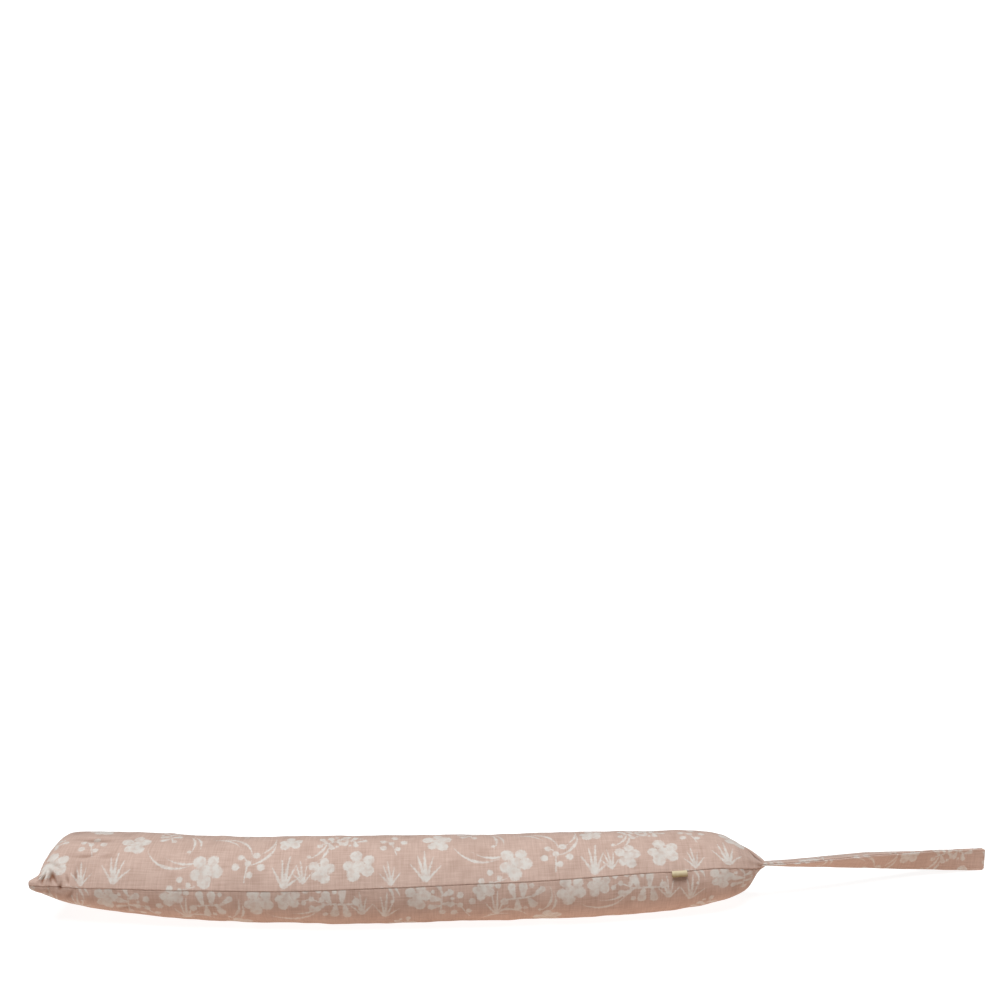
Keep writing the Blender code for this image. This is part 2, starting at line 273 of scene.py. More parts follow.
def grid_columns():
    """Angles round the tube from the seam, the same on both sides of it."""
    plain = even_steps(SEAM_COLUMNS_DEG[-1], 180.0, COLUMN_DEG)[1:]
    upper = np.concatenate([SEAM_COLUMNS_DEG, plain])
    return np.radians(np.concatenate([[0.0], upper, 360.0 - upper[-2::-1]]))


rows = grid_rows()
columns = grid_columns()
print(f"grid of {len(rows)} rows and {len(columns)} columns")

# %% [markdown]
# The rays land on flat facets, and on the solid's own coarse seam. A curve fitted to the cloth on
# both sides carries the surface straight across the seam. Each corner's reach is then averaged
# with its neighbours' inside a soft window, which melts the facets into a smooth, taut surface.
# The window is about as wide as the facets: wide in the middle and narrow at the two ends. The
# seam and the folds are worked in later, at their own fine scale.

# %% Rays onto the solid
RAY_START = 60.0
AIM_SPREAD = 0.94
SEAM_MELT_DEG = 9.0
SEAM_FIT_DEG = 28.0
SEAM_FIT_POWER = 2
WindowRow = namedtuple("WindowRow", "along size")
WINDOW_ROWS = [WindowRow(0, 0.8), WindowRow(12, 2.2), WindowRow(60, 6.0), WindowRow(110, 9.0),
               WindowRow(720, 9.0), WindowRow(775, 6.0), WindowRow(820, 2.6), WindowRow(848, 1.0)]
WINDOW_TURN_DEG = 4.2
NECK_TURN_DEG = 2.0


def smooth_curve(x, y, along):
    """Reads a curve given at the places x anywhere along it, smoothly and never overshooting."""
    slope = np.diff(y) / np.diff(x)
    lean = np.concatenate([slope[:1], np.zeros(len(x) - 2), slope[-1:]])
    same_way = slope[:-1] * slope[1:] > 0.0
    total = np.where(same_way, slope[:-1] + slope[1:], 1.0)
    lean[1:-1] = np.where(same_way, 2.0 * slope[:-1] * slope[1:] / total, 0.0)
    place = np.clip(np.searchsorted(x, along) - 1, 0, len(x) - 2)
    width = x[place + 1] - x[place]
    u = (along - x[place]) / width
    return (
        y[place] * (1.0 + 2.0 * u) * (1.0 - u) ** 2
        + lean[place] * width * u * (1.0 - u) ** 2
        + y[place + 1] * u * u * (3.0 - 2.0 * u)
        + lean[place + 1] * width * u * u * (u - 1.0)
    )


def table_curve(table, name, along):
    """A column of a table at any place along it. The table's first column says how far along."""
    x = np.array([row.along for row in table], dtype=float)
    return smooth_curve(x, np.array([getattr(row, name) for row in table], dtype=float), along)


def spread(values):
    """A value for each row from one for each section."""
    places = np.array(SECTION_PLACES, dtype=float)
    values = np.array(values, dtype=float)
    if values.ndim == 1:
        return smooth_curve(places, values, rows)
    return np.stack([smooth_curve(places, column, rows) for column in values.T], axis=-1)


def window(places, sizes, share_of_each, whole=None):
    """Weights that average a row of values inside a soft window, one line for each place."""
    apart = places[:, None] - places[None, :]
    if whole is not None:
        apart = (apart + 0.5 * whole) % whole - 0.5 * whole
    weights = np.exp(-0.5 * (apart / np.reshape(sizes, (-1, 1))) ** 2) * share_of_each[None, :]
    return weights / weights.sum(axis=1, keepdims=True)


def smooth_rows(values, sizes):
    """Averages along the tube, inside windows that may differ from row to row."""
    return np.tensordot(window(rows, sizes, np.gradient(rows)), values, axes=1)


def smooth_round(values, degrees):
    """Averages round the tube."""
    whole = 2.0 * math.pi
    to_next = (np.roll(columns, -1) - columns) % whole
    share_of_each = 0.5 * (to_next + np.roll(to_next, 1))
    weights = window(columns, [math.radians(degrees)] * len(columns), share_of_each, whole)
    if values.ndim == 2:
        return np.tensordot(values, weights, axes=(1, 1))
    return np.einsum("rck,dc->rdk", values, weights)


seam_along, seam_degrees = zip(*SEAM_LINE)
seam_angle = np.radians(np.interp(rows, seam_along, seam_degrees))
row_middle = spread([section.place for section in sections])
row_level = spread([section.level for section in sections])
row_wide = spread([section.half_width for section in sections])[:, None]
row_high = spread([section.half_height for section in sections])[:, None]
turn = columns[None, :] + seam_angle[:, None]
aim = np.maximum(row_wide - row_high, 0.0) * AIM_SPREAD * np.cos(turn)
out_level = row_wide * np.cos(turn) - aim
out_up = row_high * np.sin(turn)
out_size = np.hypot(out_level, out_up)
ray_from = row_middle[:, None, :] + aim[:, :, None] * row_level[:, None, :]
ray_way = (
    (out_level / out_size)[:, :, None] * row_level[:, None, :]
    + (out_up / out_size)[:, :, None] * UP
)


def cast_rays():
    """How far the solid reaches along each ray, in millimetres."""
    reach = np.zeros(turn.shape)
    for row in range(len(rows)):
        for column in range(len(columns)):
            way = ray_way[row, column]
            start = ray_from[row, column] + way * (out_size[row, column] + RAY_START)
            gap = to_surface(cover_tree, start, -way)
            reach[row, column] = out_size[row, column] + RAY_START - gap
    return reach


def across_seam(reach):
    """Carries each row's curve across the seam, from the cloth on its two sides."""
    signed = (np.degrees(columns) + 180.0) % 360.0 - 180.0
    inside = np.abs(signed) <= SEAM_MELT_DEG
    beside = ~inside & (np.abs(signed) < SEAM_FIT_DEG)
    for row in range(len(reach)):
        curve = np.polyfit(signed[beside], reach[row, beside], SEAM_FIT_POWER)
        reach[row, inside] = np.polyval(curve, signed[inside])
    return reach


reach = across_seam(cast_rays())
near_neck = np.clip((rows - (cover_length - NECK_REACH)) / NECK_REACH, 0.0, 1.0)[:, None]
along_smooth = smooth_rows(reach, table_curve(WINDOW_ROWS, "size", rows))
taut = smooth_round(along_smooth, WINDOW_TURN_DEG)
gathered = smooth_round(along_smooth, NECK_TURN_DEG)
reach = taut + (gathered - taut) * near_neck
taut_skin = ray_from + ray_way * reach[:, :, None]
print("skin from", taut_skin.min(axis=(0, 1)).round(1), "to", taut_skin.max(axis=(0, 1)).round(1))

# %% [markdown]
# ## Meshes from grids
#
# A mesh is a list of corners and a list of faces. The cover's grid closes on itself round the
# tube, and a tape's grid does so round its thin section, so one function serves both. It also
# writes a UV map in metres, along the cloth and across it, so that threads and print keep
# their true size on every piece.

# %% Make a mesh from a closed grid
def grid_faces(rows_count, columns_count):
    """Faces of a grid whose last column meets its first."""
    faces = []
    for row in range(rows_count - 1):
        for column in range(columns_count):
            beside = (column + 1) % columns_count
            faces.append((
                row * columns_count + column,
                (row + 1) * columns_count + column,
                (row + 1) * columns_count + beside,
                row * columns_count + beside,
            ))
    return faces


def grid_places(along, across):
    """The cloth place of each corner of the grid's faces, in the same order."""
    places = []
    for row in range(len(along) - 1):
        for column in range(across.shape[1] - 1):
            for r, c in ((row, column), (row + 1, column), (row + 1, column + 1), (row, column + 1)):
                places.append((along[r], across[r, c]))
    return places


def make_piece(name, corners, faces, cloth_places):
    """A smooth mesh object. cloth_places gives each face corner's place on the flat cloth."""
    mesh = bpy.data.meshes.new(name)
    mesh.from_pydata((np.asarray(corners) * MM).tolist(), [], faces)
    uv = mesh.uv_layers.new(name="cloth")
    uv.data.foreach_set("uv", (np.asarray(cloth_places) * MM).ravel())
    mesh.shade_smooth()
    piece = bpy.data.objects.new(name, mesh)
    bpy.context.scene.collection.objects.link(piece)
    return piece


# %% [markdown]
# ## The closed end and the neck
#
# At the closed end two layers meet in a seam that is drawn in. The grid's first row is carried
# over two soft lips, in rings that close on the seam like a mouth, down to a sunk line. At the
# neck the last row is drawn together over the strap's root in a few rings, as a neck is when it
# is gathered up and sewn through. Both ends are shut, so the cover is one closed skin that can
# be blown up like a balloon.

# %% Close a skin at both ends
LIP_SHARES = (0.86, 0.68, 0.46, 0.22)
LIP_ROUNDNESS = 2.2
END_GROOVE = 3.4
GROOVE_CLOTH = 1.0
NeckRing = namedtuple("NeckRing", "size out")
NECK_RINGS = [NeckRing(0.9, 0.7), NeckRing(0.68, 1.0), NeckRing(0.35, 0.8)]
NECK_CLOTH = 3.0
CLOTH_GIRTH = 324.0


def end_rings(skin):
    """The rings of the two lips, from the innermost out, and the sunk seam that they close on."""
    opposite = -np.arange(skin.shape[1]) % skin.shape[1]
    middle = 0.5 * (skin[0] + skin[0, opposite])
    rings = [
        skin[0] + (middle - skin[0]) * share - first_way * END_GROOVE * share ** LIP_ROUNDNESS
        for share in LIP_SHARES
    ]
    return np.array(rings), middle[1:skin.shape[1] // 2] - first_way * END_GROOVE


def neck_rings(skin):
    """The rings that draw the neck shut, from the skin's last row to its middle."""
    middle = skin[-1].mean(axis=0)
    from_middle = skin[-1] - middle
    return np.array([middle + from_middle * ring.size + last_way * ring.out for ring in NECK_RINGS])


def mouth_faces(columns_count, sunk):
    """Faces from the innermost lip ring to the sunk line, whose corners are numbered from sunk."""
    half = columns_count // 2
    faces = [(0, 1, sunk), (0, sunk, columns_count - 1)]
    for column in range(1, half - 1):
        groove = sunk + column
        below = columns_count - column
        faces.append((column, column + 1, groove, groove - 1))
        faces.append((groove - 1, groove, below - 1, below))
    last = sunk + half - 2
    return faces + [(half - 1, half, last), (last, half, half + 1)]


def cloth_round(skin):
    """How far round the cloth each corner lies from the seam, with the whole girth as cut."""
    closed = np.concatenate([skin, skin[:, :1]], axis=1)
    steps = np.linalg.norm(np.diff(closed, axis=1), axis=2)
    across = np.concatenate([np.zeros((len(skin), 1)), np.cumsum(steps, axis=1)], axis=1)
    return across / across[:, -1:] * CLOTH_GIRTH


def close_skin(name, skin, along):
    """A closed mesh object of a skin, and how many rings lie before the skin's first row."""
    columns_count = skin.shape[1]
    lips, seam = end_rings(skin)
    neck = neck_rings(skin)
    rings = np.concatenate([lips, skin, neck])
    rings[:, :, 2] = np.maximum(rings[:, :, 2], 0.0)
    sunk = len(rings) * columns_count
    corners = np.vstack([rings.reshape(-1, 3), seam, rings[-1].mean(axis=0)])
    across = cloth_round(skin)
    across = np.concatenate([across[:1]] * len(lips) + [across] + [across[-1:]] * len(neck))
    before = -np.linspace(END_GROOVE, 0.0, len(lips), endpoint=False)
    after = along[-1] + np.linspace(0.0, NECK_CLOTH, len(neck) + 1)[1:]
    places = grid_places(np.concatenate([before, along, after]), across)
    ends = mouth_faces(columns_count, sunk)
    for corner in (corner for face in ends for corner in face):
        sunk_in = corner >= sunk
        column = corner - sunk + 1 if sunk_in else corner
        places.append((before[0] - GROOVE_CLOTH * sunk_in, across[0, column]))
    tip = len(corners) - 1
    last = sunk - columns_count
    for column in range(columns_count):
        ends.append((last + column, tip, last + (column + 1) % columns_count))
        places.extend([(after[-1], across[-1, column])] * 3)
    faces = grid_faces(len(rings), columns_count) + ends
    return make_piece(name, corners, faces, places), len(lips)


# %% [markdown]
# ## Blow the cover up as cloth
#
# A stuffed cover is cloth under pressure: it pulls tight over the filling and puckers where a
# seam holds it short. Blender's cloth simulation works this out. A coarse copy of the skin is
# let down a little, its cloth is cut slightly too large near the two ends, and it is held at the
# end seam, the neck and the long seam while the pressure fills it. Only the fine part of what
# comes out is used: the slow part is taken off, so that the outline stays where the solid has it.

# %% Settle the cloth
CLOTH_ROW_MM = 5.0
CLOTH_COLUMNS = 76
CLOTH_FRAMES = 20
CLOTH_QUALITY = 6
CLOTH_MASS = 0.15
CLOTH_STIFFNESS = 20.0
CLOTH_BENDING = 0.08
CLOTH_PRESSURE = 4.0
CLOTH_SEAM_HELD = 0.7
CLOTH_CUT_LARGER = -0.12
CLOTH_END_REACH = 90.0
CLOTH_LEAST_SHARE = 0.05
CLOTH_LET_DOWN = 1.2
CLOTH_CAP = 3.0
FINE_PART_DEG = 2.5
SLOW_PART_MM = 26.0
SLOW_PART_DEG = 28.0


def between(values, places, wanted):
    """Reads values that are given at some places along their first axis, at other places."""
    spot = np.clip(np.searchsorted(places, wanted) - 1, 0, len(places) - 2)
    share = (wanted - places[spot]) / (places[spot + 1] - places[spot])
    share = share.reshape(-1, *[1] * (values.ndim - 1))
    return values[spot] * (1.0 - share) + values[spot + 1] * share


def regrid(values, old_rows, old_columns, new_rows, new_columns):
    """The same surface on a grid with other rows and columns."""
    closed = np.concatenate([values, values[:, :1]], axis=1)
    by_row = between(closed, old_rows, new_rows)
    whole_turn = np.append(old_columns, 2.0 * math.pi)
    return between(by_row.swapaxes(0, 1), whole_turn, new_columns).swapaxes(0, 1)


def outward(grid):
    """The way out of the cloth at each corner of a grid."""
    along = np.gradient(grid, axis=0)
    round_it = np.roll(grid, -1, axis=1) - np.roll(grid, 1, axis=1)
    way = np.cross(along, round_it)
    return way / np.linalg.norm(way, axis=2, keepdims=True)


def blow_up(skin, along):
    """Simulates the coarse skin as cloth under pressure and gives its corners afterwards."""
    trial, lips = close_skin("cloth_trial", skin - outward(skin) * CLOTH_LET_DOWN, along)
    columns_count = skin.shape[1]
    first = lips * columns_count
    last = first + len(skin) * columns_count
    held = trial.vertex_groups.new(name="held")
    larger = trial.vertex_groups.new(name="larger")
    held.add([*range(first), *range(last, len(trial.data.vertices))], 1.0, "REPLACE")
    held.add(list(range(first, last, columns_count)), CLOTH_SEAM_HELD, "REPLACE")
    from_ends = np.minimum(along, along[-1] - along)
    for row, share in enumerate(np.clip(1.0 - from_ends / CLOTH_END_REACH, CLOTH_LEAST_SHARE, 1.0)):
        start = first + row * columns_count
        larger.add(list(range(start, start + columns_count)), share, "REPLACE")
    settings = trial.modifiers.new("cloth", "CLOTH").settings
    settings.quality = CLOTH_QUALITY
    settings.mass = CLOTH_MASS
    settings.tension_stiffness = CLOTH_STIFFNESS
    settings.compression_stiffness = CLOTH_STIFFNESS
    settings.bending_stiffness = CLOTH_BENDING
    settings.use_pressure = True
    settings.uniform_pressure_force = CLOTH_PRESSURE
    settings.effector_weights.gravity = 0.0
    settings.vertex_group_mass = "held"
    settings.vertex_group_shrink = "larger"
    settings.shrink_min = 0.0
    settings.shrink_max = CLOTH_CUT_LARGER
    for frame_number in range(1, CLOTH_FRAMES + 1):
        bpy.context.scene.frame_set(frame_number)
    blown = trial.evaluated_get(bpy.context.evaluated_depsgraph_get()).to_mesh()
    flat = np.zeros(len(blown.vertices) * 3)
    blown.vertices.foreach_get("co", flat)
    bpy.data.objects.remove(trial, do_unlink=True)
    bpy.context.scene.frame_set(1)
    return flat.reshape(-1, 3)[first:last].reshape(skin.shape) / MM


def settled(skin):
    """The fine part of what the simulation does to the skin, as moves of its corners."""
    coarse_rows = even_steps(rows[0], rows[-1], CLOTH_ROW_MM)
    coarse_columns = np.linspace(0.0, 2.0 * math.pi, CLOTH_COLUMNS, endpoint=False)
    coarse = regrid(skin, rows, columns, coarse_rows, coarse_columns)
    moved = blow_up(coarse, coarse_rows) - coarse
    moved = regrid(moved, coarse_rows, coarse_columns, rows, columns)
    moved = smooth_round(smooth_rows(moved, [0.5 * CLOTH_ROW_MM] * len(rows)), FINE_PART_DEG)
    moved = moved - smooth_round(smooth_rows(moved, [SLOW_PART_MM] * len(rows)), SLOW_PART_DEG)
    size = np.linalg.norm(moved, axis=2, keepdims=True)
    print(f"cloth moved {size.mean():.2f} mm on average and {size.max():.2f} mm at most")
    return moved * np.minimum(1.0, CLOTH_CAP / np.maximum(size, MM))


skin = taut_skin.copy()
skin = skin + settled(taut_skin)

# %% [markdown]
# ## The long seam and the folds
#
# What the simulation is too coarse for is worked in as heights above the skin. The long
# seam is a sunk line at a small step: the cloth above it stands a little higher than the cloth
# below, so its edge catches the light. Small puckers cross it where the thread pulls. At the
# closed end short folds run back from the end seam, and larger ones stand at the front corner,
# each a row of a table. At the neck the cloth is gathered, so its folds run lengthwise and close
# up on the strap. Lengths are in millimetres and turns in degrees.

# %% Heights of the seam and its puckers
SEAM_DEPTH = 0.55
SEAM_WIDTH = 0.6
SEAM_PLACE = -0.2
SEAM_STEP = 0.5
SEAM_EASE = (5.0, 10.0)
RIDGE_ABOVE = 1.25
RIDGE_BELOW = 0.45
REACH_ABOVE = 11.0
REACH_BELOW = 6.0
PUCKER_PITCH = 10.5
PUCKER_REACH = 8.0
PUCKER_SLANT = 0.14
PUCKER_HEIGHT = 0.10
TAB_PLACE = 737.6
Pull = namedtuple("Pull", "along width height")
PULLS = [Pull(24.0, 26.0, 0.45), Pull(TAB_PLACE, 22.0, 0.20), Pull(815.0, 30.0, 0.35)]
Ripple = namedtuple("Ripple", "size pitch phase slant", defaults=(0.0, 0.0))
PUCKER_RIPPLES = [Ripple(0.27, 83.0), Ripple(0.15, 37.0, 1.0)]


def from_seam(skin):
    """Each corner's distance from the long seam over the cloth: up is positive, down negative."""
    step = np.linalg.norm(np.roll(skin, -1, axis=1) - skin, axis=2)
    up = np.cumsum(step, axis=1) - step
    girth = step.sum(axis=1, keepdims=True)
    return np.where(up > 0.5 * girth, up - girth, up)


def wave(value, pitch, phase=0.0):
    """A wave between -1 and 1 that comes round once in every pitch."""
    return np.sin(2.0 * math.pi * value / pitch + phase)


def rippled(table, along, across=0.0):
    """The sum of a table's waves, which keeps what repeats from being quite even."""
    return sum(row.size * wave(along + row.slant * across, row.pitch, row.phase) for row in table)


def ease_in(along, end_reach, neck_reach):
    """Nothing at the tube's two ends, and 1 from a reach inside them."""
    from_end = np.clip(along / end_reach, 0.0, 1.0)
    return from_end * np.clip((cover_length - along) / neck_reach, 0.0, 1.0)


def seam_height(along, across):
    """The sunk line, the step in the cloth beside it, and the puckers across it."""
    groove = -SEAM_DEPTH * bell(across, SEAM_PLACE, SEAM_WIDTH)
    above = RIDGE_ABOVE * np.exp(-np.abs(across) / REACH_ABOVE)
    below = RIDGE_BELOW * np.exp(-np.abs(across) / REACH_BELOW)
    ridge = below + (above - below) * 0.5 * (1.0 + np.tanh(across / SEAM_STEP))
    pulls = sum(pull.height * bell(along, pull.along, pull.width) for pull in PULLS)
    turns = (along + PUCKER_SLANT * across) / PUCKER_PITCH + rippled(PUCKER_RIPPLES, along)
    puckers = (PUCKER_HEIGHT + pulls) * wave(turns, 1.0) * np.exp(-np.abs(across) / PUCKER_REACH)
    puckers = puckers * (1.0 - bell(across, 0.0, SEAM_WIDTH))
    return (groove + ridge + puckers) * ease_in(along, *SEAM_EASE)


# %% Heights of the folds
Fold = namedtuple("Fold", "along across length width height turn")
FOLDS = [
    Fold(6.0, 4.5, 14, 6.5, 1.3, 15),
    Fold(8.0, -6.0, 28, 12.0, 2.0, 0),
    Fold(10.5, 10.5, 9, 3.0, -2.2, 62),
    Fold(12.0, 11.0, 12, 3.2, 1.7, 84),
    Fold(15.5, 9.0, 13, 3.0, -2.6, 96),
    Fold(19.5, 9.0, 12, 3.0, 2.0, 104),
    Fold(23.5, 8.0, 12, 3.0, -2.2, 110),
    Fold(28.0, 7.0, 11, 3.2, 1.4, 116),
    Fold(27.0, 9.5, 20, 4.2, -3.2, 126),
    Fold(31.5, 15.0, 18, 4.8, 1.9, 126),
    Fold(35.0, -1.5, 15, 4.4, -2.0, 76),
    Fold(43.0, 8.0, 13, 4.0, -1.6, 112),
    Fold(51.5, 13.0, 15, 4.4, -1.6, 100),
    Fold(25.0, 26.0, 18, 5.0, -1.2, 150),
    Fold(59.0, 33.0, 34, 6.0, 1.5, 2),
    Fold(61.0, 41.0, 34, 7.0, -1.1, 4),
    Fold(74.0, 43.0, 28, 5.0, 1.1, 30),
    Fold(60.0, 72.0, 44, 9.0, -1.3, 178),
    Fold(66.0, 82.0, 40, 7.0, 0.8, 176),
    Fold(22.0, -6.5, 11, 4.2, -1.3, 70),
    Fold(33.0, -7.0, 12, 5.0, 1.2, 62),
    Fold(46.0, -9.0, 15, 6.0, -1.3, 55),
    Fold(64.0, -12.0, 18, 8.0, 0.9, 40),
    Fold(112.0, -27.0, 30, 11.0, -1.0, 12),
    Fold(131.0, -31.0, 26, 10.0, 0.9, 10),
    Fold(30.0, 118.0, 46, 80.0, -2.7, 0),
    Fold(825.0, 45.0, 40, 40.0, -1.0, 0),
    Fold(824.0, -33.0, 34, 26.0, 2.3, 46),
]


def fold_height(along, across):
    """All the single folds, each a long soft hump or, where its height is below zero, a hollow."""
    height = np.zeros_like(across)
    for fold in FOLDS:
        turned = math.radians(fold.turn)
        ahead = along - fold.along
        aside = across - fold.across
        lengthwise = ahead * math.cos(turned) + aside * math.sin(turned)
        sideways = aside * math.cos(turned) - ahead * math.sin(turned)
        shape = bell(lengthwise, 0.0, 0.5 * fold.length) * bell(sideways, 0.0, 0.5 * fold.width)
        height = height + fold.height * shape
    return height


# %% Heights of the gathers at the neck
GATHER_EASE_START = -3.0
GATHER_EASE = 8.0
GATHER_LEAST = 0.4
Gather = namedtuple("Gather", "turn height reach width slant")
GATHERS = [
    Gather(-62, -0.9, 40, 9, 0.0),
    Gather(-27, -0.6, 34, 7, 0.0),
    Gather(24, 0.8, 18, 12, 1.0),
    Gather(43, -3.4, 19, 6, 1.7),
    Gather(66, 2.4, 17, 12, 1.5),
    Gather(104, -1.4, 34, 8, 0.6),
    Gather(146, -1.8, 48, 9, 0.0),
    Gather(176, -1.6, 44, 9, 0.0),
    Gather(-150, -1.5, 46, 9, 0.0),
    Gather(-118, -1.6, 46, 9, 0.0),
]


def gather_height(along, turn):
    """Lengthwise folds that deepen toward the neck. A slant is in degrees a millimetre."""
    from_neck = cover_length - along
    height = np.zeros_like(turn)
    for gather in GATHERS:
        middle = gather.turn + gather.slant * from_neck
        aside = (np.degrees(turn) - middle + 180.0) % 360.0 - 180.0
        shape = bell(aside, 0.0, gather.width) * bell(from_neck, 0.0, gather.reach)
        height = height + gather.height * shape
    return height * np.clip((from_neck - GATHER_EASE_START) / GATHER_EASE, GATHER_LEAST, 1.0)


# %% [markdown]
# The end seam puckers too, and beside the front corner the end is drawn in, so that the corner
# stands out like an ear. Last come faint slow waves for the uneven stuffing.

# %% Heights of the end puckers and of the stuffing
END_PUCKER_PITCH = 12.5
END_PUCKER_HEIGHT = 0.8
END_PUCKER_REACH = 13.0
END_PUCKER_CORNER = 20.0
END_PUCKER_OFFSET = 0.13
END_RIPPLE = 0.19
END_RIPPLE_PITCH = 53.0
EAR_DRAW = 15.0
EAR_HALF_HEIGHT = 12.0
EAR_BLUNTNESS = 3
EAR_FADE = 26.0
EAR_REACH = 16.0
EAR_PUSH = 1.3
EAR_PUSH_PLACE = 5.2
EAR_PUSH_WIDTH = 3.6
EAR_PUSH_REACH = 9.0
LUMP_EASE = 30.0
LUMPS = [
    Ripple(0.15, 47.0, 0.3, 0.9),
    Ripple(0.14, 71.0, 1.9, -1.4),
    Ripple(0.12, 33.0, 4.4, 0.4),
    Ripple(0.10, 24.0, 2.7, -0.7),
]


def end_height(along, aside, side):
    """Puckers along the end seam. aside is the place along it, side is 1 above and -1 below."""
    turns = aside / END_PUCKER_PITCH + END_PUCKER_OFFSET * side
    turns = turns + END_RIPPLE * wave(aside, END_RIPPLE_PITCH, side)
    from_corner = np.clip((np.abs(aside).max() - np.abs(aside)) / END_PUCKER_CORNER, 0.0, 1.0)
    return END_PUCKER_HEIGHT * wave(turns, 1.0) * np.exp(-along / END_PUCKER_REACH) * from_corner


def drawn_in(along, across):
    """How far the end is drawn in beside the front corner, less what the stuffing pushes out."""
    above = np.clip(across, 0.0, None)
    beside = 1.0 - np.exp(-((above / EAR_HALF_HEIGHT) ** EAR_BLUNTNESS))
    drawn = EAR_DRAW * beside * np.exp(-above / EAR_FADE - along / EAR_REACH)
    pushed = EAR_PUSH * bell(across, EAR_PUSH_PLACE, EAR_PUSH_WIDTH)
    return drawn - pushed * np.exp(-along / EAR_PUSH_REACH)


# %% [markdown]
# The heights are added up and the skin is pushed out by them. Then the floor presses the
# underside flat, and the cover's mesh is made. Where a corner lies below the cloth round it,
# the two sides of a fold nearly touch and little light gets in. How deep it lies is noted on
# the mesh, and the linen darkens its colour there as painted shade.

# %% Work the heights into the skin and make the cover
CREASE_SHADE_ROWS_MM = 7.0
CREASE_SHADE_TURN_DEG = 7.0
CREASE_SHADE_FULL_MM = 2.1


def mark_crease_shade(piece, height, rings_before):
    """Note at each corner how far it lies below the cloth round it: 0 level, 1 deep in a fold.
    The linen paints shade by it, darker in the folds.
    """
    around = smooth_round(smooth_rows(height, [CREASE_SHADE_ROWS_MM] * len(rows)), CREASE_SHADE_TURN_DEG)
    crease_shade = np.zeros(len(piece.data.vertices))
    start = rings_before * height.shape[1]
    # Painted shade: the deeper a corner lies in a fold, the darker the linen is painted there.
    depth = np.clip((around - height) / CREASE_SHADE_FULL_MM, 0.0, 1.0)
    crease_shade[start:start + height.size] = depth.ravel()
    attribute = piece.data.attributes.new("crease_shade", "FLOAT", "POINT")
    attribute.data.foreach_set("value", crease_shade)


along_each = np.broadcast_to(rows[:, None], turn.shape)
across_each = from_seam(skin)
aside_each = np.cos(turn) * row_wide
height = (
    seam_height(along_each, across_each)
    + fold_height(along_each, across_each)
    + gather_height(along_each, turn)
    + end_height(along_each, aside_each, np.sign(np.sin(turn)))
    + rippled(LUMPS, along_each, across_each) * ease_in(along_each, LUMP_EASE, LUMP_EASE)
)
smooth_seam = skin[:, 0].copy()
skin = skin + outward(skin) * height[:, :, None]
skin = skin + drawn_in(along_each, across_each)[:, :, None] * way_along(0.0)
skin[:, :, 2] = np.maximum(skin[:, :, 2], 0.0)
cover, lips_count = close_skin("linen_cover", skin, rows)
mark_crease_shade(cover, height, lips_count)
print(f"cover of {len(cover.data.vertices)} corners and {len(cover.data.polygons)} faces")
print(f"heights from {height.min():.1f} to {height.max():.1f} mm")

# %% [markdown]
# ## Tapes
#
# The strap is a tape of the same linen: a strip folded in, pressed and sewn, then doubled into
# a loop. The tab is a short woven tape folded over. Both are swept the same way. Two edge lines
# say where the tape runs, and a thin section with round edges is carried along between them.

# %% Sweep a tape between two edge lines
TAPE_EDGE_STEPS = 3


def tape_section(across_steps):
    """(place across from 0 to 1, edge push from -1 to 1, height from -1 to 1) round a tape."""
    shares = np.linspace(0.0, 1.0, across_steps + 1)
    angles = np.linspace(0.0, math.pi, TAPE_EDGE_STEPS + 2)[1:-1]
    front = [(share, 0.0, 1.0) for share in shares]
    far = [(1.0, math.sin(angle), math.cos(angle)) for angle in angles]
    back = [(share, 0.0, -1.0) for share in shares[::-1]]
    near = [(0.0, -math.sin(angle), -math.cos(angle)) for angle in angles]
    return np.array(front + far + back + near)


def full_thickness(along, share):
    return np.ones_like(share)


def sweep_tape(name, edges, thickness, across_steps, relief=full_thickness, cloth_start=(0, 0)):
    """A thin closed piece. relief gives its share of the thickness along it and across it."""
    first_edge, second_edge = edges
    section = tape_section(across_steps)
    across = second_edge - first_edge
    width = np.linalg.norm(across, axis=1, keepdims=True)
    across = across / width
    middle = 0.5 * (first_edge + second_edge)
    face_way = np.cross(np.gradient(middle, axis=0), across)
    face_way = face_way / np.linalg.norm(face_way, axis=1, keepdims=True)
    half_thick = 0.5 * thickness
    steps = np.concatenate([[0.0], np.cumsum(np.linalg.norm(np.diff(middle, axis=0), axis=1))])
    corners = []
    for row in range(len(middle)):
        share = section[:, 0:1]
        flat = first_edge[row] + across[row] * (half_thick + share * (width[row] - thickness))
        edge = across[row] * section[:, 1:2] * half_thick
        height = section[:, 2:3] * half_thick * relief(steps[row], share)
        corners.append(flat + edge + face_way[row] * height)
    corners = np.array(corners)
    rows_count, columns_count, _ = corners.shape
    faces = grid_faces(rows_count, columns_count)
    last = (rows_count - 1) * columns_count
    faces.append(tuple(range(columns_count)))
    faces.append(tuple(range(last + columns_count - 1, last - 1, -1)))
    first_ring = np.concatenate([corners[0], corners[0][:1]])
    round_steps = np.linalg.norm(np.diff(first_ring, axis=0), axis=1)
    round_it = cloth_start[1] + np.concatenate([[0.0], np.cumsum(round_steps)])
    cloth_along = cloth_start[0] + steps
    places = grid_places(cloth_along, np.broadcast_to(round_it, (rows_count, columns_count + 1)))
    places.extend([(cloth_along[0], round_it[c]) for c in range(columns_count)])
    places.extend([(cloth_along[-1], round_it[c]) for c in range(columns_count - 1, -1, -1)])
    return make_piece(name, corners.reshape(-1, 3), faces, places)


# %% [markdown]
# ## The strap
#
# The strap leaves the neck with its two runs lying one on the other. The front run turns up on
# edge as it goes, and the back run stays nearly flat, until both stand on edge at the far fold.
# A short table says how it lies. Lengths are in millimetres and turns in degrees from flat. Its
# first few millimetres are inside the neck, where the cover is sewn through it. A line of edge
# stitching sinks into the folded linen on both sides, and the tape wavers a little as cloth does.

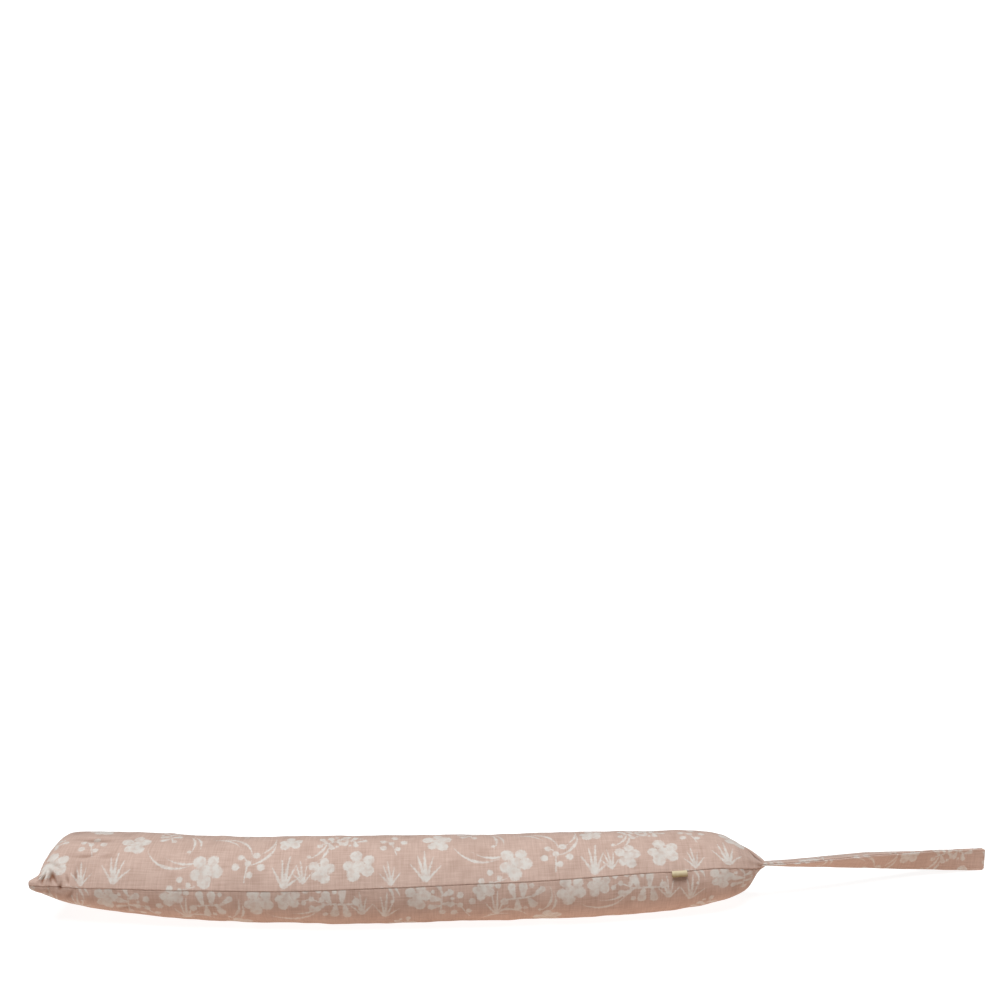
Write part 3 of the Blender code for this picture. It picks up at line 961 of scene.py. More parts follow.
# %% The strap's two edge lines
TAPE_WIDTH = 28.8
TAPE_THICK = 2.0
STRAP_STEP = 2.4
FOLD_STEPS = 13
CORNER_RADIUS = 2.6
CORNER_STEPS = 8
CORNER_ROUNDED = 0.94
ROOT_LENGTH = 6.0
WAVER = 0.35
WAVER_EASE = 40.0
WAVER_RIPPLES = [Ripple(1.0, 67.0), Ripple(0.6, 29.0, 2.0)]
StrapRow = namedtuple("StrapRow", "along heading top_height front_turn back_turn apart")
STRAP_ROWS = [
    StrapRow(0.0, 12.0, 49.0, 23.0, 20.0, 1.85),
    StrapRow(66.0, 16.0, 46.5, 35.0, 19.0, 1.60),
    StrapRow(119.0, 18.5, 44.9, 48.0, 19.0, 1.40),
    StrapRow(171.0, 20.0, 41.1, 60.0, 21.0, 1.22),
    StrapRow(224.0, 20.5, 36.3, 72.0, 27.0, 1.12),
    StrapRow(252.0, 20.5, 33.4, 79.0, 45.0, 1.30),
    StrapRow(280.0, 20.5, 30.3, 86.0, 78.0, 1.80),
    StrapRow(295.0, 20.5, 28.7, 89.0, 88.0, 2.10),
]


def strap_stations():
    """Places along one run of the strap, and how far its corners are rounded in at each."""
    last = STRAP_ROWS[-1].along
    plain = even_steps(-ROOT_LENGTH, last - CORNER_RADIUS, STRAP_STEP)
    corner = last - CORNER_RADIUS * np.linspace(1.0, 0.0, CORNER_STEPS + 1)[1:]
    stations = np.concatenate([plain, corner])
    beyond = np.clip(1.0 - (last - stations) / CORNER_RADIUS, 0.0, 1.0)
    return stations, CORNER_RADIUS * (1.0 - np.sqrt(1.0 - (CORNER_ROUNDED * beyond) ** 2))


def strap_edges():
    """The two edge lines of the whole tape, out along the front run and home along the back."""
    stations, inset = strap_stations()
    read_at = np.maximum(stations, 0.0)
    heading, front, back = (
        np.radians(table_curve(STRAP_ROWS, name, read_at))
        for name in ("heading", "front_turn", "back_turn")
    )
    ahead = np.stack([np.cos(heading), np.sin(heading), np.zeros_like(heading)], axis=-1)
    behind = np.stack([-np.sin(heading), np.cos(heading), np.zeros_like(heading)], axis=-1)
    steps = np.diff(stations)[:, None]
    run = np.cumsum(0.5 * (ahead[1:] + ahead[:-1]) * steps, axis=0)
    path = np.concatenate([np.zeros((1, 3)), run])
    spacing = table_curve(STRAP_ROWS, "apart", read_at)[:, None]
    lean = 0.5 * (front[0] + back[0])
    to_edge = 0.5 * TAPE_WIDTH * math.cos(lean) + 0.5 * spacing[0, 0] * math.sin(lean)
    root = line[-1] - ahead[0] * ROOT_LENGTH - behind[0] * to_edge
    top = path + np.array([root[0], root[1], 0.0])
    top[:, 2] = table_curve(STRAP_ROWS, "top_height", read_at)
    waver = WAVER * np.clip(stations / WAVER_EASE, 0.0, 1.0) * rippled(WAVER_RIPPLES, stations)
    top = top + behind * waver[:, None]
    middle = (0.5 * (front + back))[:, None]
    apart = (np.sin(middle) * behind + np.cos(middle) * UP) * spacing
    down_front, down_back = (
        np.cos(lying)[:, None] * behind - np.sin(lying)[:, None] * UP for lying in (front, back)
    )
    fold = []
    fold_down = []
    for angle in np.linspace(0.0, math.pi, FOLD_STEPS + 2)[1:-1]:
        turned = 0.5 * (1.0 - math.cos(angle))
        fold.append(top[-1] + apart[-1] * turned + ahead[-1] * 0.5 * spacing[-1] * math.sin(angle))
        fold_down.append(down_front[-1] + (down_back[-1] - down_front[-1]) * turned)
    first = np.concatenate([top, fold, (top + apart)[::-1]])
    down = np.concatenate([down_front, fold_down, down_back[::-1]])
    pull = np.concatenate([inset, np.full(FOLD_STEPS, inset[-1]), inset[::-1]])[:, None]
    return first + down * pull, first + down * (TAPE_WIDTH - pull)


# %% Make the strap
STITCH_FROM_EDGE = 0.09
STITCH_SINK = 0.3
STITCH_WIDTH = 0.03
THIN_SHARE = 0.06
THIN_PITCH = 43.0
STRAP_ACROSS_STEPS = 34
STRAP_CLOTH_START = (96.0, 12.0)


def stitched_thickness(along, share):
    """A sunk line of stitching beside each edge, and slowly thinner and thicker between."""
    stitches = STITCH_SINK * bell(np.minimum(share, 1.0 - share), STITCH_FROM_EDGE, STITCH_WIDTH)
    return 1.0 - stitches - THIN_SHARE * (1.0 + wave(along, THIN_PITCH))


strap_lines = strap_edges()
strap = sweep_tape(
    "strap", strap_lines, TAPE_THICK, STRAP_ACROSS_STEPS, stitched_thickness, STRAP_CLOTH_START
)
tape_length = np.linalg.norm(np.diff(strap_lines[0], axis=0), axis=1).sum()
print(f"strap of {len(strap.data.polygons)} faces, {tape_length:.0f} mm of tape")

# %% [markdown]
# ## The tab
#
# The tab is a scrap of cotton tape, folded over and caught in the long seam. It is blank. Both
# its ends go into the seam's groove, and the fold stands out and hangs a little, so its upper
# side catches the light. Its section is a short table: how far out of the seam, and how far down.

# %% The tab
TAB_WIDTH = 18.6
TAB_THICK = 1.0
TAB_STEPS = 60
TAB_ACROSS_STEPS = 12
TabRow = namedtuple("TabRow", "along out down")
TAB_FOLD = [
    TabRow(0, 1.6, -0.7),
    TabRow(1, 2.9, -0.6),
    TabRow(2, 4.2, 0.2),
    TabRow(3, 5.0, 1.6),
    TabRow(4, 5.3, 3.3),
    TabRow(5, 5.0, 4.9),
    TabRow(6, 4.3, 5.7),
    TabRow(7, 3.6, 5.0),
    TabRow(8, 3.5, 3.6),
    TabRow(9, 3.2, 2.4),
    TabRow(10, 2.6, 1.6),
    TabRow(11, 1.7, 1.3),
]


def on_seam(along):
    """The point of the long seam at a distance from the closed end."""
    return np.array([np.interp(along, rows, smooth_seam[:, axis]) for axis in range(3)])


def tab_edges():
    """The two edge lines of the tab, the section's table set on the seam at each of its sides."""
    angle = np.interp(TAB_PLACE, rows, seam_angle)
    way = way_along(TAB_PLACE)
    level = np.array([way[1], -way[0], 0.0])
    out = math.cos(angle) * level + math.sin(angle) * UP
    down = math.sin(angle) * level - math.cos(angle) * UP
    path = np.linspace(0.0, TAB_FOLD[-1].along, TAB_STEPS)
    fold = table_curve(TAB_FOLD, "out", path)[:, None] * out
    fold = fold + table_curve(TAB_FOLD, "down", path)[:, None] * down
    return [on_seam(TAB_PLACE + side * 0.5 * TAB_WIDTH) + fold for side in (-1.0, 1.0)]


tab = sweep_tape("tab", tab_edges(), TAB_THICK, TAB_ACROSS_STEPS)
tab_corners = np.array([vertex.co for vertex in tab.data.vertices])
print("tab from", tab_corners.min(axis=0).round(4), "to", tab_corners.max(axis=0).round(4))

# %% [markdown]
# ## One function for shader nodes
#
# A material is a small graph of nodes. This function adds one node of a kind, such as Math or
# Mix: its inputs by number or name, each a plain value or another node's output, and its settings
# by keyword. It gives back the first output that the settings leave switched on, so calls can be
# nested like sums.

# %% Add a node
def add(tree, kind, inputs=(), **settings):
    """Adds one shader node with its settings and links, and gives back its output."""
    node = tree.nodes.new("ShaderNode" + kind)
    for name, value in settings.items():
        setattr(node, name, value)
    pairs = inputs.items() if isinstance(inputs, dict) else enumerate(inputs)
    for key, value in pairs:
        if isinstance(value, bpy.types.NodeSocket):
            tree.links.new(value, node.inputs[key])
        elif value is not None:
            node.inputs[key].default_value = value
    return next((socket for socket in node.outputs if socket.enabled), None)


def new_material(name):
    """A material with a bare Principled shader, and that shader's node."""
    material = bpy.data.materials.new(name)
    material.use_nodes = True
    return material, material.node_tree, material.node_tree.nodes["Principled BSDF"]


# %% [markdown]
# ## The print: drawn motifs
#
# The linen is screen-printed in a pale grey with blossoms, dotted blossoms, tufts of grass, leaf
# sprays and single blades. The motifs here are plain ones drawn for this piece, in a layout of
# their own. Each is made of round dots, and of strokes that may widen or narrow from one end
# to the other. Sizes are in millimetres from the motif's own middle, with y up the cloth.

# %% Motifs
Dot = namedtuple("Dot", "x y size")
Stroke = namedtuple("Stroke", "x y to_x to_y size to_size")
Blade = namedtuple("Blade", "x y radius facing reach size")
UNEVEN_DEG = 7.0
UNEVEN_SHARE = 0.08


def ring_of_dots(count, radius, sizes, start_deg=90.0):
    """Dots round a circle, of sizes that repeat, a little uneven as a hand draws them."""
    dots = []
    for number in range(count):
        even_deg = start_deg + 360.0 * number / count
        angle = math.radians(even_deg + UNEVEN_DEG * math.sin(2.4 * number))
        out = radius * (1.0 + UNEVEN_SHARE * math.cos(3.1 * number + 1.0))
        dots.append(Dot(out * math.cos(angle), out * math.sin(angle), sizes[number % len(sizes)]))
    return dots


BLOSSOM = ring_of_dots(5, 12.5, (7.2, 6.4, 7.6)) + [Dot(0.0, 0.0, 6.0), Dot(3.0, -5.0, 4.0)]
DOTTED = ring_of_dots(5, 14.0, (4.4, 3.8), 70.0) + [
    Dot(-1.0, 1.0, 3.8),
    Stroke(-1.0, 0.0, 1.5, -22.0, 1.0, 0.6),
    Stroke(0.0, 2.0, -10.0, 9.0, 0.8, 0.7),
]
TUFT = [
    Stroke(-1.0, 0.0, -15.0, 20.0, 2.0, 0.5),
    Stroke(0.0, 0.0, -6.0, 31.0, 2.4, 0.5),
    Stroke(1.0, 0.0, 2.0, 37.0, 2.8, 0.6),
    Stroke(2.0, 0.0, 11.0, 26.0, 2.2, 0.4),
    Stroke(3.0, 0.0, 19.0, 14.0, 1.8, 0.4),
    Dot(1.0, 2.0, 4.6),
]
GRASS = [Blade(0.0, 34.0, 38.0, -100.0, 30.0, 2.0), Blade(10.0, 41.0, 38.0, -84.0, 21.0, 1.7)]
REEDS = [
    Blade(-30.0, 8.0, 34.0, 0.0, 21.0, 1.8),
    Blade(-22.0, 2.0, 34.0, 10.0, 16.0, 1.7),
    Dot(-4.0, -9.0, 2.6),
]
SPRAY = [
    Stroke(-16.0, -3.0, 12.0, 2.0, 1.2, 0.9),
    Stroke(-8.0, -1.0, -13.0, 11.0, 1.5, 4.4),
    Stroke(1.0, 0.0, 0.0, 12.0, 1.5, 4.8),
    Stroke(6.0, 1.0, 13.0, -8.0, 1.3, 4.6),
    Stroke(-5.0, -2.0, -3.0, -14.0, 1.5, 4.2),
    Stroke(11.0, 2.0, 20.0, 10.0, 1.2, 3.6),
    Dot(-19.0, -6.0, 4.2),
    Dot(9.0, 14.0, 2.6),
    Dot(5.0, -13.0, 2.4),
]

# %% [markdown]
# The layout is a half-drop repeat, as most furnishing prints have: the tile is repeated beside
# itself, and each next row up is shifted by half a tile. Turns are in degrees.

# %% Layout of one tile
TILE_WIDE = 350.0
TILE_HIGH = 165.0
Motif = namedtuple("Motif", "kind x y turn size")
LAYOUT = [
    Motif(BLOSSOM, 22, 28, 15, 1.0),
    Motif(DOTTED, 60, 60, 10, 0.9),
    Motif(TUFT, 97, 8, 4, 1.0),
    Motif(BLOSSOM, 112, 62, 70, 0.9),
    Motif(GRASS, 160, 30, -8, 1.0),
    Motif(BLOSSOM, 200, 24, 40, 1.05),
    Motif(GRASS, 232, 66, 150, 0.9),
    Motif(DOTTED, 248, 32, -12, 1.0),
    Motif(TUFT, 288, 6, -6, 1.0),
    Motif(TUFT, 309, 10, 10, 0.68),
    Motif(BLOSSOM, 292, 66, 5, 0.72),
    Motif(SPRAY, 340, 66, 12, 0.8),
    Motif(SPRAY, 32, 141, -6, 1.05),
    Motif(BLOSSOM, 86, 146, 30, 0.9),
    Motif(GRASS, 132, 126, 20, 1.0),
    Motif(SPRAY, 172, 142, 168, 1.1),
    Motif(TUFT, 226, 122, -3, 0.85),
    Motif(BLOSSOM, 264, 147, 55, 0.8),
    Motif(DOTTED, 312, 134, 25, 0.9),
    Motif(BLOSSOM, 62, 104, 80, 0.85),
    Motif(SPRAY, 246, 100, 40, 0.8),
    Motif(SPRAY, 148, 82, 100, 0.75),
    Motif(REEDS, 178, 58, 12, 0.9),
    Motif(BLOSSOM, 330, 24, 60, 0.8),
    Motif(BLOSSOM, 118, 150, 12, 0.75),
    Motif(TUFT, 200, 128, 8, 0.75),
    Motif(SPRAY, 290, 142, 75, 0.85),
    Motif(REEDS, 58, 128, -20, 0.8),
    Motif(TUFT, 352, 120, 0, 0.8),
    Motif(TUFT, 58, 5, 10, 0.7),
    Motif(DOTTED, 172, 1, 100, 0.8),
    Motif(GRASS, 268, 48, 60, 0.85),
    Motif(REEDS, 322, 46, -35, 0.85),
    Motif(SPRAY, 12, 68, -30, 0.72),
    Motif(DOTTED, 145, 150, 60, 0.8),
    Motif(REEDS, 234, 150, 30, 0.75),
    Motif(BLOSSOM, 338, 153, 20, 0.7),
    Motif(GRASS, 10, 122, 190, 0.8),
]


def on_tile(motif, x, y):
    """A point of a motif, turned and sized as it lies on the tile."""
    turned = math.radians(motif.turn)
    return (
        motif.size * (x * math.cos(turned) - y * math.sin(turned)),
        motif.size * (x * math.sin(turned) + y * math.cos(turned)),
    )


def placed(shape, motif):
    """A dot, stroke or blade as it lies on the tile. A blade keeps its thickness."""
    size = motif.size
    start = on_tile(motif, shape.x, shape.y)
    if isinstance(shape, Dot):
        return Dot(*start, shape.size * size)
    if isinstance(shape, Stroke):
        end = on_tile(motif, shape.to_x, shape.to_y)
        return Stroke(*start, *end, shape.size * size, shape.to_size * size)
    facing = shape.facing + motif.turn
    return Blade(*start, shape.radius * size, facing, shape.reach * size, shape.size)


# %% [markdown]
# A shader can't fill an outline, but it can tell at each point how far it is from a shape. For a
# dot that is the distance from its middle less its size. For a stroke, the nearest point of a
# straight line comes first. A blade is part of a circle, cut off by a larger round window. The
# least of all these distances is below zero wherever there is ink.

# %% Distance from the print
JOIN_MM = 4.5
FAR_OFF = 1.0e4


def near_dot(tree, place, dot):
    away = add(tree, "VectorMath", (place, (dot.x, dot.y, 0.0)), operation="DISTANCE")
    return add(tree, "Math", (away, dot.size), operation="SUBTRACT")


def near_stroke(tree, place, stroke):
    run = (stroke.to_x - stroke.x, stroke.to_y - stroke.y, 0.0)
    length_squared = run[0] ** 2 + run[1] ** 2
    measure = tuple(part / length_squared for part in run)
    from_start = add(tree, "VectorMath", (place, (stroke.x, stroke.y, 0.0)), operation="SUBTRACT")
    share = add(tree, "VectorMath", (from_start, measure), operation="DOT_PRODUCT")
    share = add(tree, "Clamp", (share, 0.0, 1.0))
    nearest = add(tree, "VectorMath", {0: run, "Scale": share}, operation="SCALE")
    away = add(tree, "VectorMath", (from_start, nearest), operation="DISTANCE")
    wider = stroke.to_size - stroke.size
    size = add(tree, "Math", (share, wider, stroke.size), operation="MULTIPLY_ADD")
    return add(tree, "Math", (away, size), operation="SUBTRACT")


def near_blade(tree, place, blade):
    away = add(tree, "VectorMath", (place, (blade.x, blade.y, 0.0)), operation="DISTANCE")
    off_circle = add(tree, "Math", (away, blade.radius), operation="SUBTRACT")
    off_circle = add(tree, "Math", (off_circle, 0.0), operation="ABSOLUTE")
    facing = math.radians(blade.facing)
    middle_x = blade.x + blade.radius * math.cos(facing)
    middle_y = blade.y + blade.radius * math.sin(facing)
    from_middle = add(tree, "VectorMath", (place, (middle_x, middle_y, 0.0)), operation="DISTANCE")
    taper = -blade.size / blade.reach
    tapered = add(tree, "Math", (from_middle, taper, blade.size), operation="MULTIPLY_ADD")
    return add(tree, "Math", (off_circle, tapered), operation="SUBTRACT")


def near_motif(tree, cloth_mm, motif):
    """How far the motif's ink is, in millimetres, measured from its nearest copy in the repeat."""
    place = add(tree, "VectorMath", (cloth_mm, (motif.x, motif.y, 0.0)), operation="SUBTRACT")
    up_one = (0.0, 1.0 / TILE_HIGH, 0.0)
    half_drop = (0.5 * TILE_WIDE, TILE_HIGH, 0.0)
    tile_row = add(tree, "VectorMath", (place, up_one), operation="DOT_PRODUCT")
    tile_row = add(tree, "Math", (tile_row, 0.0), operation="ROUND")
    shift = add(tree, "VectorMath", {0: half_drop, "Scale": tile_row}, operation="SCALE")
    place = add(tree, "VectorMath", (place, shift), operation="SUBTRACT")
    most = (0.5 * TILE_WIDE, FAR_OFF, FAR_OFF)
    least = (-0.5 * TILE_WIDE, -FAR_OFF, -FAR_OFF)
    place = add(tree, "VectorMath", (place, most, least), operation="WRAP")
    tools = {Dot: near_dot, Stroke: near_stroke, Blade: near_blade}
    nearest = None
    for shape in (placed(shape, motif) for shape in motif.kind):
        distance = tools[type(shape)](tree, place, shape)
        if nearest is None:
            nearest = distance
        elif motif.kind is BLOSSOM:
            nearest = add(tree, "Math", (nearest, distance, JOIN_MM), operation="SMOOTH_MIN")
        else:
            nearest = add(tree, "Math", (nearest, distance), operation="MINIMUM")
    return nearest


def near_print(tree, cloth_mm):
    nearest = near_motif(tree, cloth_mm, LAYOUT[0])
    for motif in LAYOUT[1:]:
        distance = near_motif(tree, cloth_mm, motif)
        nearest = add(tree, "Math", (nearest, distance), operation="MINIMUM")
    return nearest


# %% [markdown]
# ## The linen
#
# Linen is spun from flax, whose fibres are long and uneven, so its threads swell into slubs that
# show as short streaks along both directions of the weave. It is dyed blush and is matt, with a
# faint pale bloom at the edges of the form, where light rakes through its loose fibres. Real
# threads here lie about 0.6 mm apart, which is half a pixel, so they are drawn at 1.5 mm. The ink
# sits on top of the threads and is thin, so it is broken by them and blotchy at its edges. Deep
# in a fold little light gets in, so shade is painted there: the colour is darker and browner.

# %% Printed linen
THREAD_MM = 1.5
SLUB_LONG_MM = 26.0
SLUB_THIN_MM = 1.7
SLUB_LEVEL = -0.7
SLUB_BUMP = 0.8
CLOUD_MM = 48.0
CLOUD_SHARE = 0.5
THREAD_SHARE = -0.08
INK_EDGE_MM = 2.6
INK_RAGGED_MM = 2.2
INK_NONE_MM = 2.9
INK_FULL_MM = 1.3
BLOTCH_MM = 6.0
BLOTCH_RANGE = (0.32, 0.6, 0.55, 1.0)
BROKEN_RANGE = (0.1, 0.6, 0.72, 1.0)
WEAVE_TURN = 0.25
BUMP_MM = 0.22
GROUND = "CEB4A7"
GROUND_DEEP = "B5998B"
CREASE_SHADE_COLOUR = "A4826C"
INK = "D3CEC7"
SHEEN = "F3ECE8"


def streaks(tree, cloth_mm, long_mm, thin_mm, lengthwise, seed):
    """Noise drawn out along or across the cloth."""
    along_mm, across_mm = (long_mm, thin_mm) if lengthwise else (thin_mm, long_mm)
    scale = (1.0 / along_mm, 1.0 / across_mm, 0.0)
    start = (seed, 2.0 * seed, 0.0)
    place = add(tree, "VectorMath", (cloth_mm, scale, start), operation="MULTIPLY_ADD")
    look = {"Vector": place, "Scale": 1.0, "Detail": 3.0}
    return add(tree, "TexNoise", look, noise_dimensions="2D")


def spots(tree, cloth_mm, size_mm, detail):
    """Noise as wide as it is long."""
    place = add(tree, "VectorMath", {0: cloth_mm, "Scale": 1.0 / size_mm}, operation="SCALE")
    look = {"Vector": place, "Scale": 1.0, "Detail": detail}
    return add(tree, "TexNoise", look, noise_dimensions="2D")


def weave(tree, cloth_mm, pitch_mm):
    """Height of a plain weave, 0 to 1: threads along and across that pass over and under."""
    turns = add(tree, "VectorMath", {0: cloth_mm, "Scale": math.pi / pitch_mm}, operation="SCALE")
    split = tree.nodes.new("ShaderNodeSeparateXYZ")
    tree.links.new(turns, split.inputs[0])
    along = add(tree, "Math", (split.outputs["X"],), operation="SINE")
    across = add(tree, "Math", (split.outputs["Y"],), operation="SINE")
    over = add(tree, "Math", (along, across), operation="MULTIPLY")
    warp = add(tree, "Math", (across, 0.0), operation="ABSOLUTE")
    weft = add(tree, "Math", (along, 0.0), operation="ABSOLUTE")
    side = add(tree, "MapRange", (over, -WEAVE_TURN, WEAVE_TURN, 0.0, 1.0))
    return add(tree, "Mix", {0: side, 2: warp, 3: weft}, data_type="FLOAT")


def plain_cloth(tree):
    """The place on the flat cloth, in millimetres."""
    cloth = add(tree, "UVMap", uv_map="cloth")
    return add(tree, "VectorMath", {0: cloth, "Scale": 1.0 / MM}, operation="SCALE")


def printed_linen():
    material, tree, shader = new_material("printed_linen")
    cloth_mm = plain_cloth(tree)
    warp_slubs = streaks(tree, cloth_mm, SLUB_LONG_MM, SLUB_THIN_MM, True, 3.1)
    weft_slubs = streaks(tree, cloth_mm, SLUB_LONG_MM, SLUB_THIN_MM, False, 7.7)
    slubs = add(tree, "Math", (warp_slubs, weft_slubs), operation="ADD")
    threads = weave(tree, cloth_mm, THREAD_MM)
    cloud = spots(tree, cloth_mm, CLOUD_MM, 2.0)
    depth = add(tree, "Math", (slubs, 1.0, SLUB_LEVEL), operation="MULTIPLY_ADD")
    depth = add(tree, "Math", (cloud, CLOUD_SHARE, depth), operation="MULTIPLY_ADD")
    shares = (threads, THREAD_SHARE, depth)
    depth = add(tree, "Math", shares, operation="MULTIPLY_ADD", use_clamp=True)
    shades = {0: depth, 6: linear(GROUND), 7: linear(GROUND_DEEP)}
    ground = add(tree, "Mix", shades, data_type="RGBA")
    edge_noise = spots(tree, cloth_mm, INK_EDGE_MM, 2.0)
    distance = near_print(tree, cloth_mm)
    ragged = add(tree, "Math", (edge_noise, INK_RAGGED_MM, distance), operation="MULTIPLY_ADD")
    ragged = add(tree, "Math", (slubs, 1.0, ragged), operation="MULTIPLY_ADD")
    edge = (ragged, INK_NONE_MM, INK_FULL_MM, 0.0, 1.0)
    ink = add(tree, "MapRange", edge, interpolation_type="SMOOTHSTEP")
    blotch = spots(tree, cloth_mm, BLOTCH_MM, 3.0)
    blotch = add(tree, "MapRange", (blotch, *BLOTCH_RANGE))
    broken = add(tree, "MapRange", (threads, *BROKEN_RANGE))
    ink = add(tree, "Math", (ink, blotch), operation="MULTIPLY")
    ink = add(tree, "Math", (ink, broken), operation="MULTIPLY")
    colour = add(tree, "Mix", {0: ink, 6: ground, 7: linear(INK)}, data_type="RGBA")
    # Painted shade: the colour is multiplied toward a brown in the folds, where little light gets
    # in.
    crease_shade = tree.nodes.new("ShaderNodeAttribute")
    crease_shade.attribute_name = "crease_shade"
    shades = {0: crease_shade.outputs["Fac"], 6: colour, 7: linear(CREASE_SHADE_COLOUR)}
    colour = add(tree, "Mix", shades, data_type="RGBA", blend_type="MULTIPLY")
    height = add(tree, "Math", (slubs, SLUB_BUMP, threads), operation="MULTIPLY_ADD")
    bump = add(tree, "Bump", {"Strength": 0.5, "Distance": BUMP_MM * MM, "Height": height})
    tree.links.new(colour, shader.inputs["Base Color"])
    tree.links.new(bump, shader.inputs["Normal"])
    shader.inputs["Roughness"].default_value = 0.88
    shader.inputs["IOR"].default_value = 1.5
    shader.inputs["Specular IOR Level"].default_value = 0.25
    shader.inputs["Sheen Weight"].default_value = 0.25
    shader.inputs["Sheen Roughness"].default_value = 0.45
    shader.inputs["Sheen Tint"].default_value = linear(SHEEN)
    return material


linen = printed_linen()
for piece in (cover, strap):
    piece.data.materials.append(linen)
print("printed linen of", len(linen.node_tree.nodes), "nodes")

# %% [markdown]
# ## The tab's cotton
#
# Cotton tape is woven as twill, whose threads step sideways each row and so make fine slanting
# lines. It is cream and a little smoother than the linen. Toward its fold it is painted darker,
# as painted shade where the fold turns down from the light. Real twill lines lie 0.5 mm apart,
# and are drawn at 1.1 mm so that they show.

# %% Cotton tape
TWILL_MM = 1.1
TWILL_SLANT = 0.7
TWILL_BUMP_MM = 0.15
TWILL_SHARE = -0.2
PATCH_MM = 5.0
PATCH_SHARE = 0.3
COTTON = "D0C3A3"
COTTON_DEEP_AND_SHADE = "93794F"
FOLD_SHADE_FROM_MM = 2.4
FOLD_SHADE_TO_MM = 8.0
FOLD_SHADE_MOST = 0.95


def cotton_tape():
    material, tree, shader = new_material("cotton_tape")
    cloth_mm = plain_cloth(tree)
    turn_rate = TWILL_SLANT * 2.0 * math.pi / TWILL_MM
    slant_way = (turn_rate, turn_rate, 0.0)
    slant = add(tree, "VectorMath", (cloth_mm, slant_way), operation="DOT_PRODUCT")
    twill = add(tree, "Math", (slant,), operation="SINE")
    twill = add(tree, "MapRange", (twill, -1.0, 1.0, 0.0, 1.0))
    # Painted shade: the tape is darkened along its path toward the fold, where it turns from the
    # light.
    along = add(tree, "VectorMath", (cloth_mm, (1.0, 0.0, 0.0)), operation="DOT_PRODUCT")
    painted_fold_shade = add(tree, "MapRange", (along, FOLD_SHADE_FROM_MM, FOLD_SHADE_TO_MM, 0.0, FOLD_SHADE_MOST))
    patchy = spots(tree, cloth_mm, PATCH_MM, 3.0)
    patchy = add(tree, "Math", (patchy, PATCH_SHARE, -0.5 * PATCH_SHARE), operation="MULTIPLY_ADD")
    depth = add(tree, "Math", (twill, TWILL_SHARE, painted_fold_shade), operation="MULTIPLY_ADD")
    depth = add(tree, "Math", (depth, patchy), operation="ADD", use_clamp=True)
    shades = {0: depth, 6: linear(COTTON), 7: linear(COTTON_DEEP_AND_SHADE)}
    colour = add(tree, "Mix", shades, data_type="RGBA")
    bump = add(tree, "Bump", {"Strength": 0.45, "Distance": TWILL_BUMP_MM * MM, "Height": twill})
    tree.links.new(colour, shader.inputs["Base Color"])
    tree.links.new(bump, shader.inputs["Normal"])
    shader.inputs["Roughness"].default_value = 0.8
    shader.inputs["IOR"].default_value = 1.5
    shader.inputs["Specular IOR Level"].default_value = 0.3
    shader.inputs["Sheen Weight"].default_value = 0.1
    return material


tab.data.materials.append(cotton_tape())
print("cotton tape on", tab.name)

# %% [markdown]
# ## Floor and light
#
# The object lies on a white table lit from below, as small things are for a catalogue, so its
# underside is bright too and hardly any shadow shows. One broad soft light stands high above and
# a little in front. Such pictures are then cleared to white, so the camera sees the table
# brighter than the cloth does.

# %% Floor
FLOOR_SIZE = 400.0
FLOOR_PAINT = "979797"
GLOW_COLOUR = "FFDCC4"
GLOW_ON_CLOTH = 0.72
GLOW_NEAR = 0.12
GLOW_FAR = 0.34
GLOW_SEEN = 0.90
WHITE = "FFFFFF"


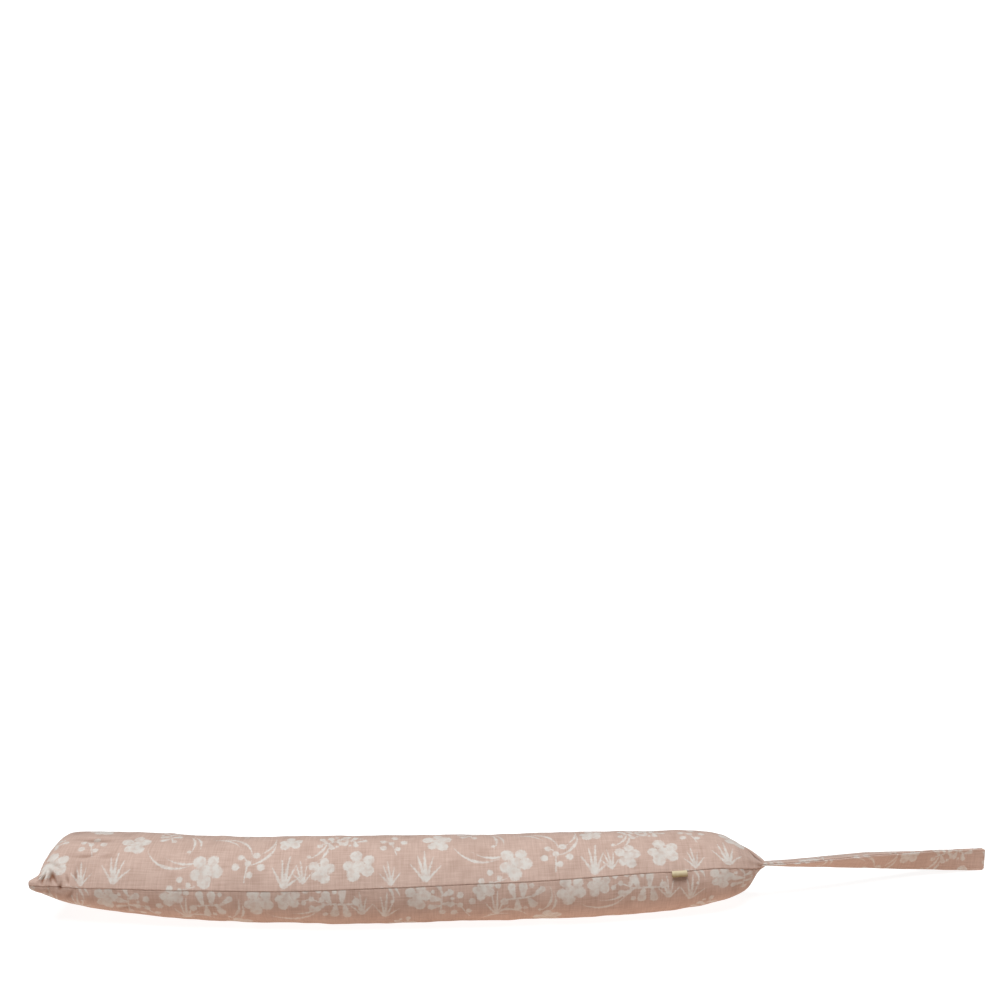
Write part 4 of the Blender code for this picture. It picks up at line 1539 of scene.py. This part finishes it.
def studio_floor():
    half = 0.5 * FLOOR_SIZE
    mesh = bpy.data.meshes.new("floor")
    corners = [(-half, -half, 0), (half, -half, 0), (half, half, 0), (-half, half, 0)]
    mesh.from_pydata(corners, [], [(0, 1, 2, 3)])
    floor = bpy.data.objects.new("floor", mesh)
    bpy.context.scene.collection.objects.link(floor)
    material, tree, shader = new_material("lit_table")
    seen = tree.nodes.new("ShaderNodeLightPath").outputs["Is Camera Ray"]
    place = tree.nodes.new("ShaderNodeTexCoord").outputs["Object"]
    beside = add(tree, "VectorMath", (place, (0.0, 1.0, 0.0)), operation="DOT_PRODUCT")
    beside = add(tree, "Math", (beside, 0.0), operation="ABSOLUTE")
    on_cloth = add(tree, "MapRange", (beside, GLOW_NEAR, GLOW_FAR, GLOW_ON_CLOTH, 0.0))
    glow = add(tree, "Mix", {0: seen, 2: on_cloth, 3: GLOW_SEEN}, data_type="FLOAT")
    shades = {0: seen, 6: linear(GLOW_COLOUR), 7: linear(WHITE)}
    glow_colour = add(tree, "Mix", shades, data_type="RGBA")
    tree.links.new(glow, shader.inputs["Emission Strength"])
    tree.links.new(glow_colour, shader.inputs["Emission Color"])
    shader.inputs["Base Color"].default_value = linear(FLOOR_PAINT)
    shader.inputs["Roughness"].default_value = 0.95
    shader.inputs["Specular IOR Level"].default_value = 0.0
    mesh.materials.append(material)
    return floor


studio_floor()
print("floor", FLOOR_SIZE, "m wide")

# %% Lights
KEY_FROM_TOP_DEG = 15.0
KEY_FROM_LEFT_DEG = 6.0
KEY_COLOUR = "FBFDFF"
KEY_STRENGTH = 3.65
KEY_ANGLE_DEG = 42.0
FILL_COLOUR = "FFF6EE"
FILL_STRENGTH = 0.06

key_data = bpy.data.lights.new("key_softbox", "SUN")
key_data.color = linear(KEY_COLOUR)[:3]
key_data.energy = KEY_STRENGTH
key_data.angle = math.radians(KEY_ANGLE_DEG)
key = bpy.data.objects.new("key_softbox", key_data)
key.rotation_euler = (math.radians(KEY_FROM_TOP_DEG), math.radians(-KEY_FROM_LEFT_DEG), 0.0)
bpy.context.scene.collection.objects.link(key)

world = bpy.data.worlds.new("studio")
world.use_nodes = True
world.node_tree.nodes["Background"].inputs["Color"].default_value = linear(FILL_COLOUR)
world.node_tree.nodes["Background"].inputs["Strength"].default_value = FILL_STRENGTH
bpy.context.scene.world = world
bpy.context.scene.view_settings.view_transform = "Standard"
print("key light of strength", KEY_STRENGTH, "and fill of", FILL_STRENGTH)

# %% [markdown]
# ## Join the pieces to the frame
#
# Each piece rides on the object's one body and stands for the solid that it dresses, which is
# hidden.

# %% Ride and replace
for piece, node, slot in (
    (cover, "filled_cover", "printed_linen"),
    (strap, "strap_loop", "printed_linen"),
    (tab, "seam_tab", "cotton_tape"),
):
    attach(piece, "root")
    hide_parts(node)
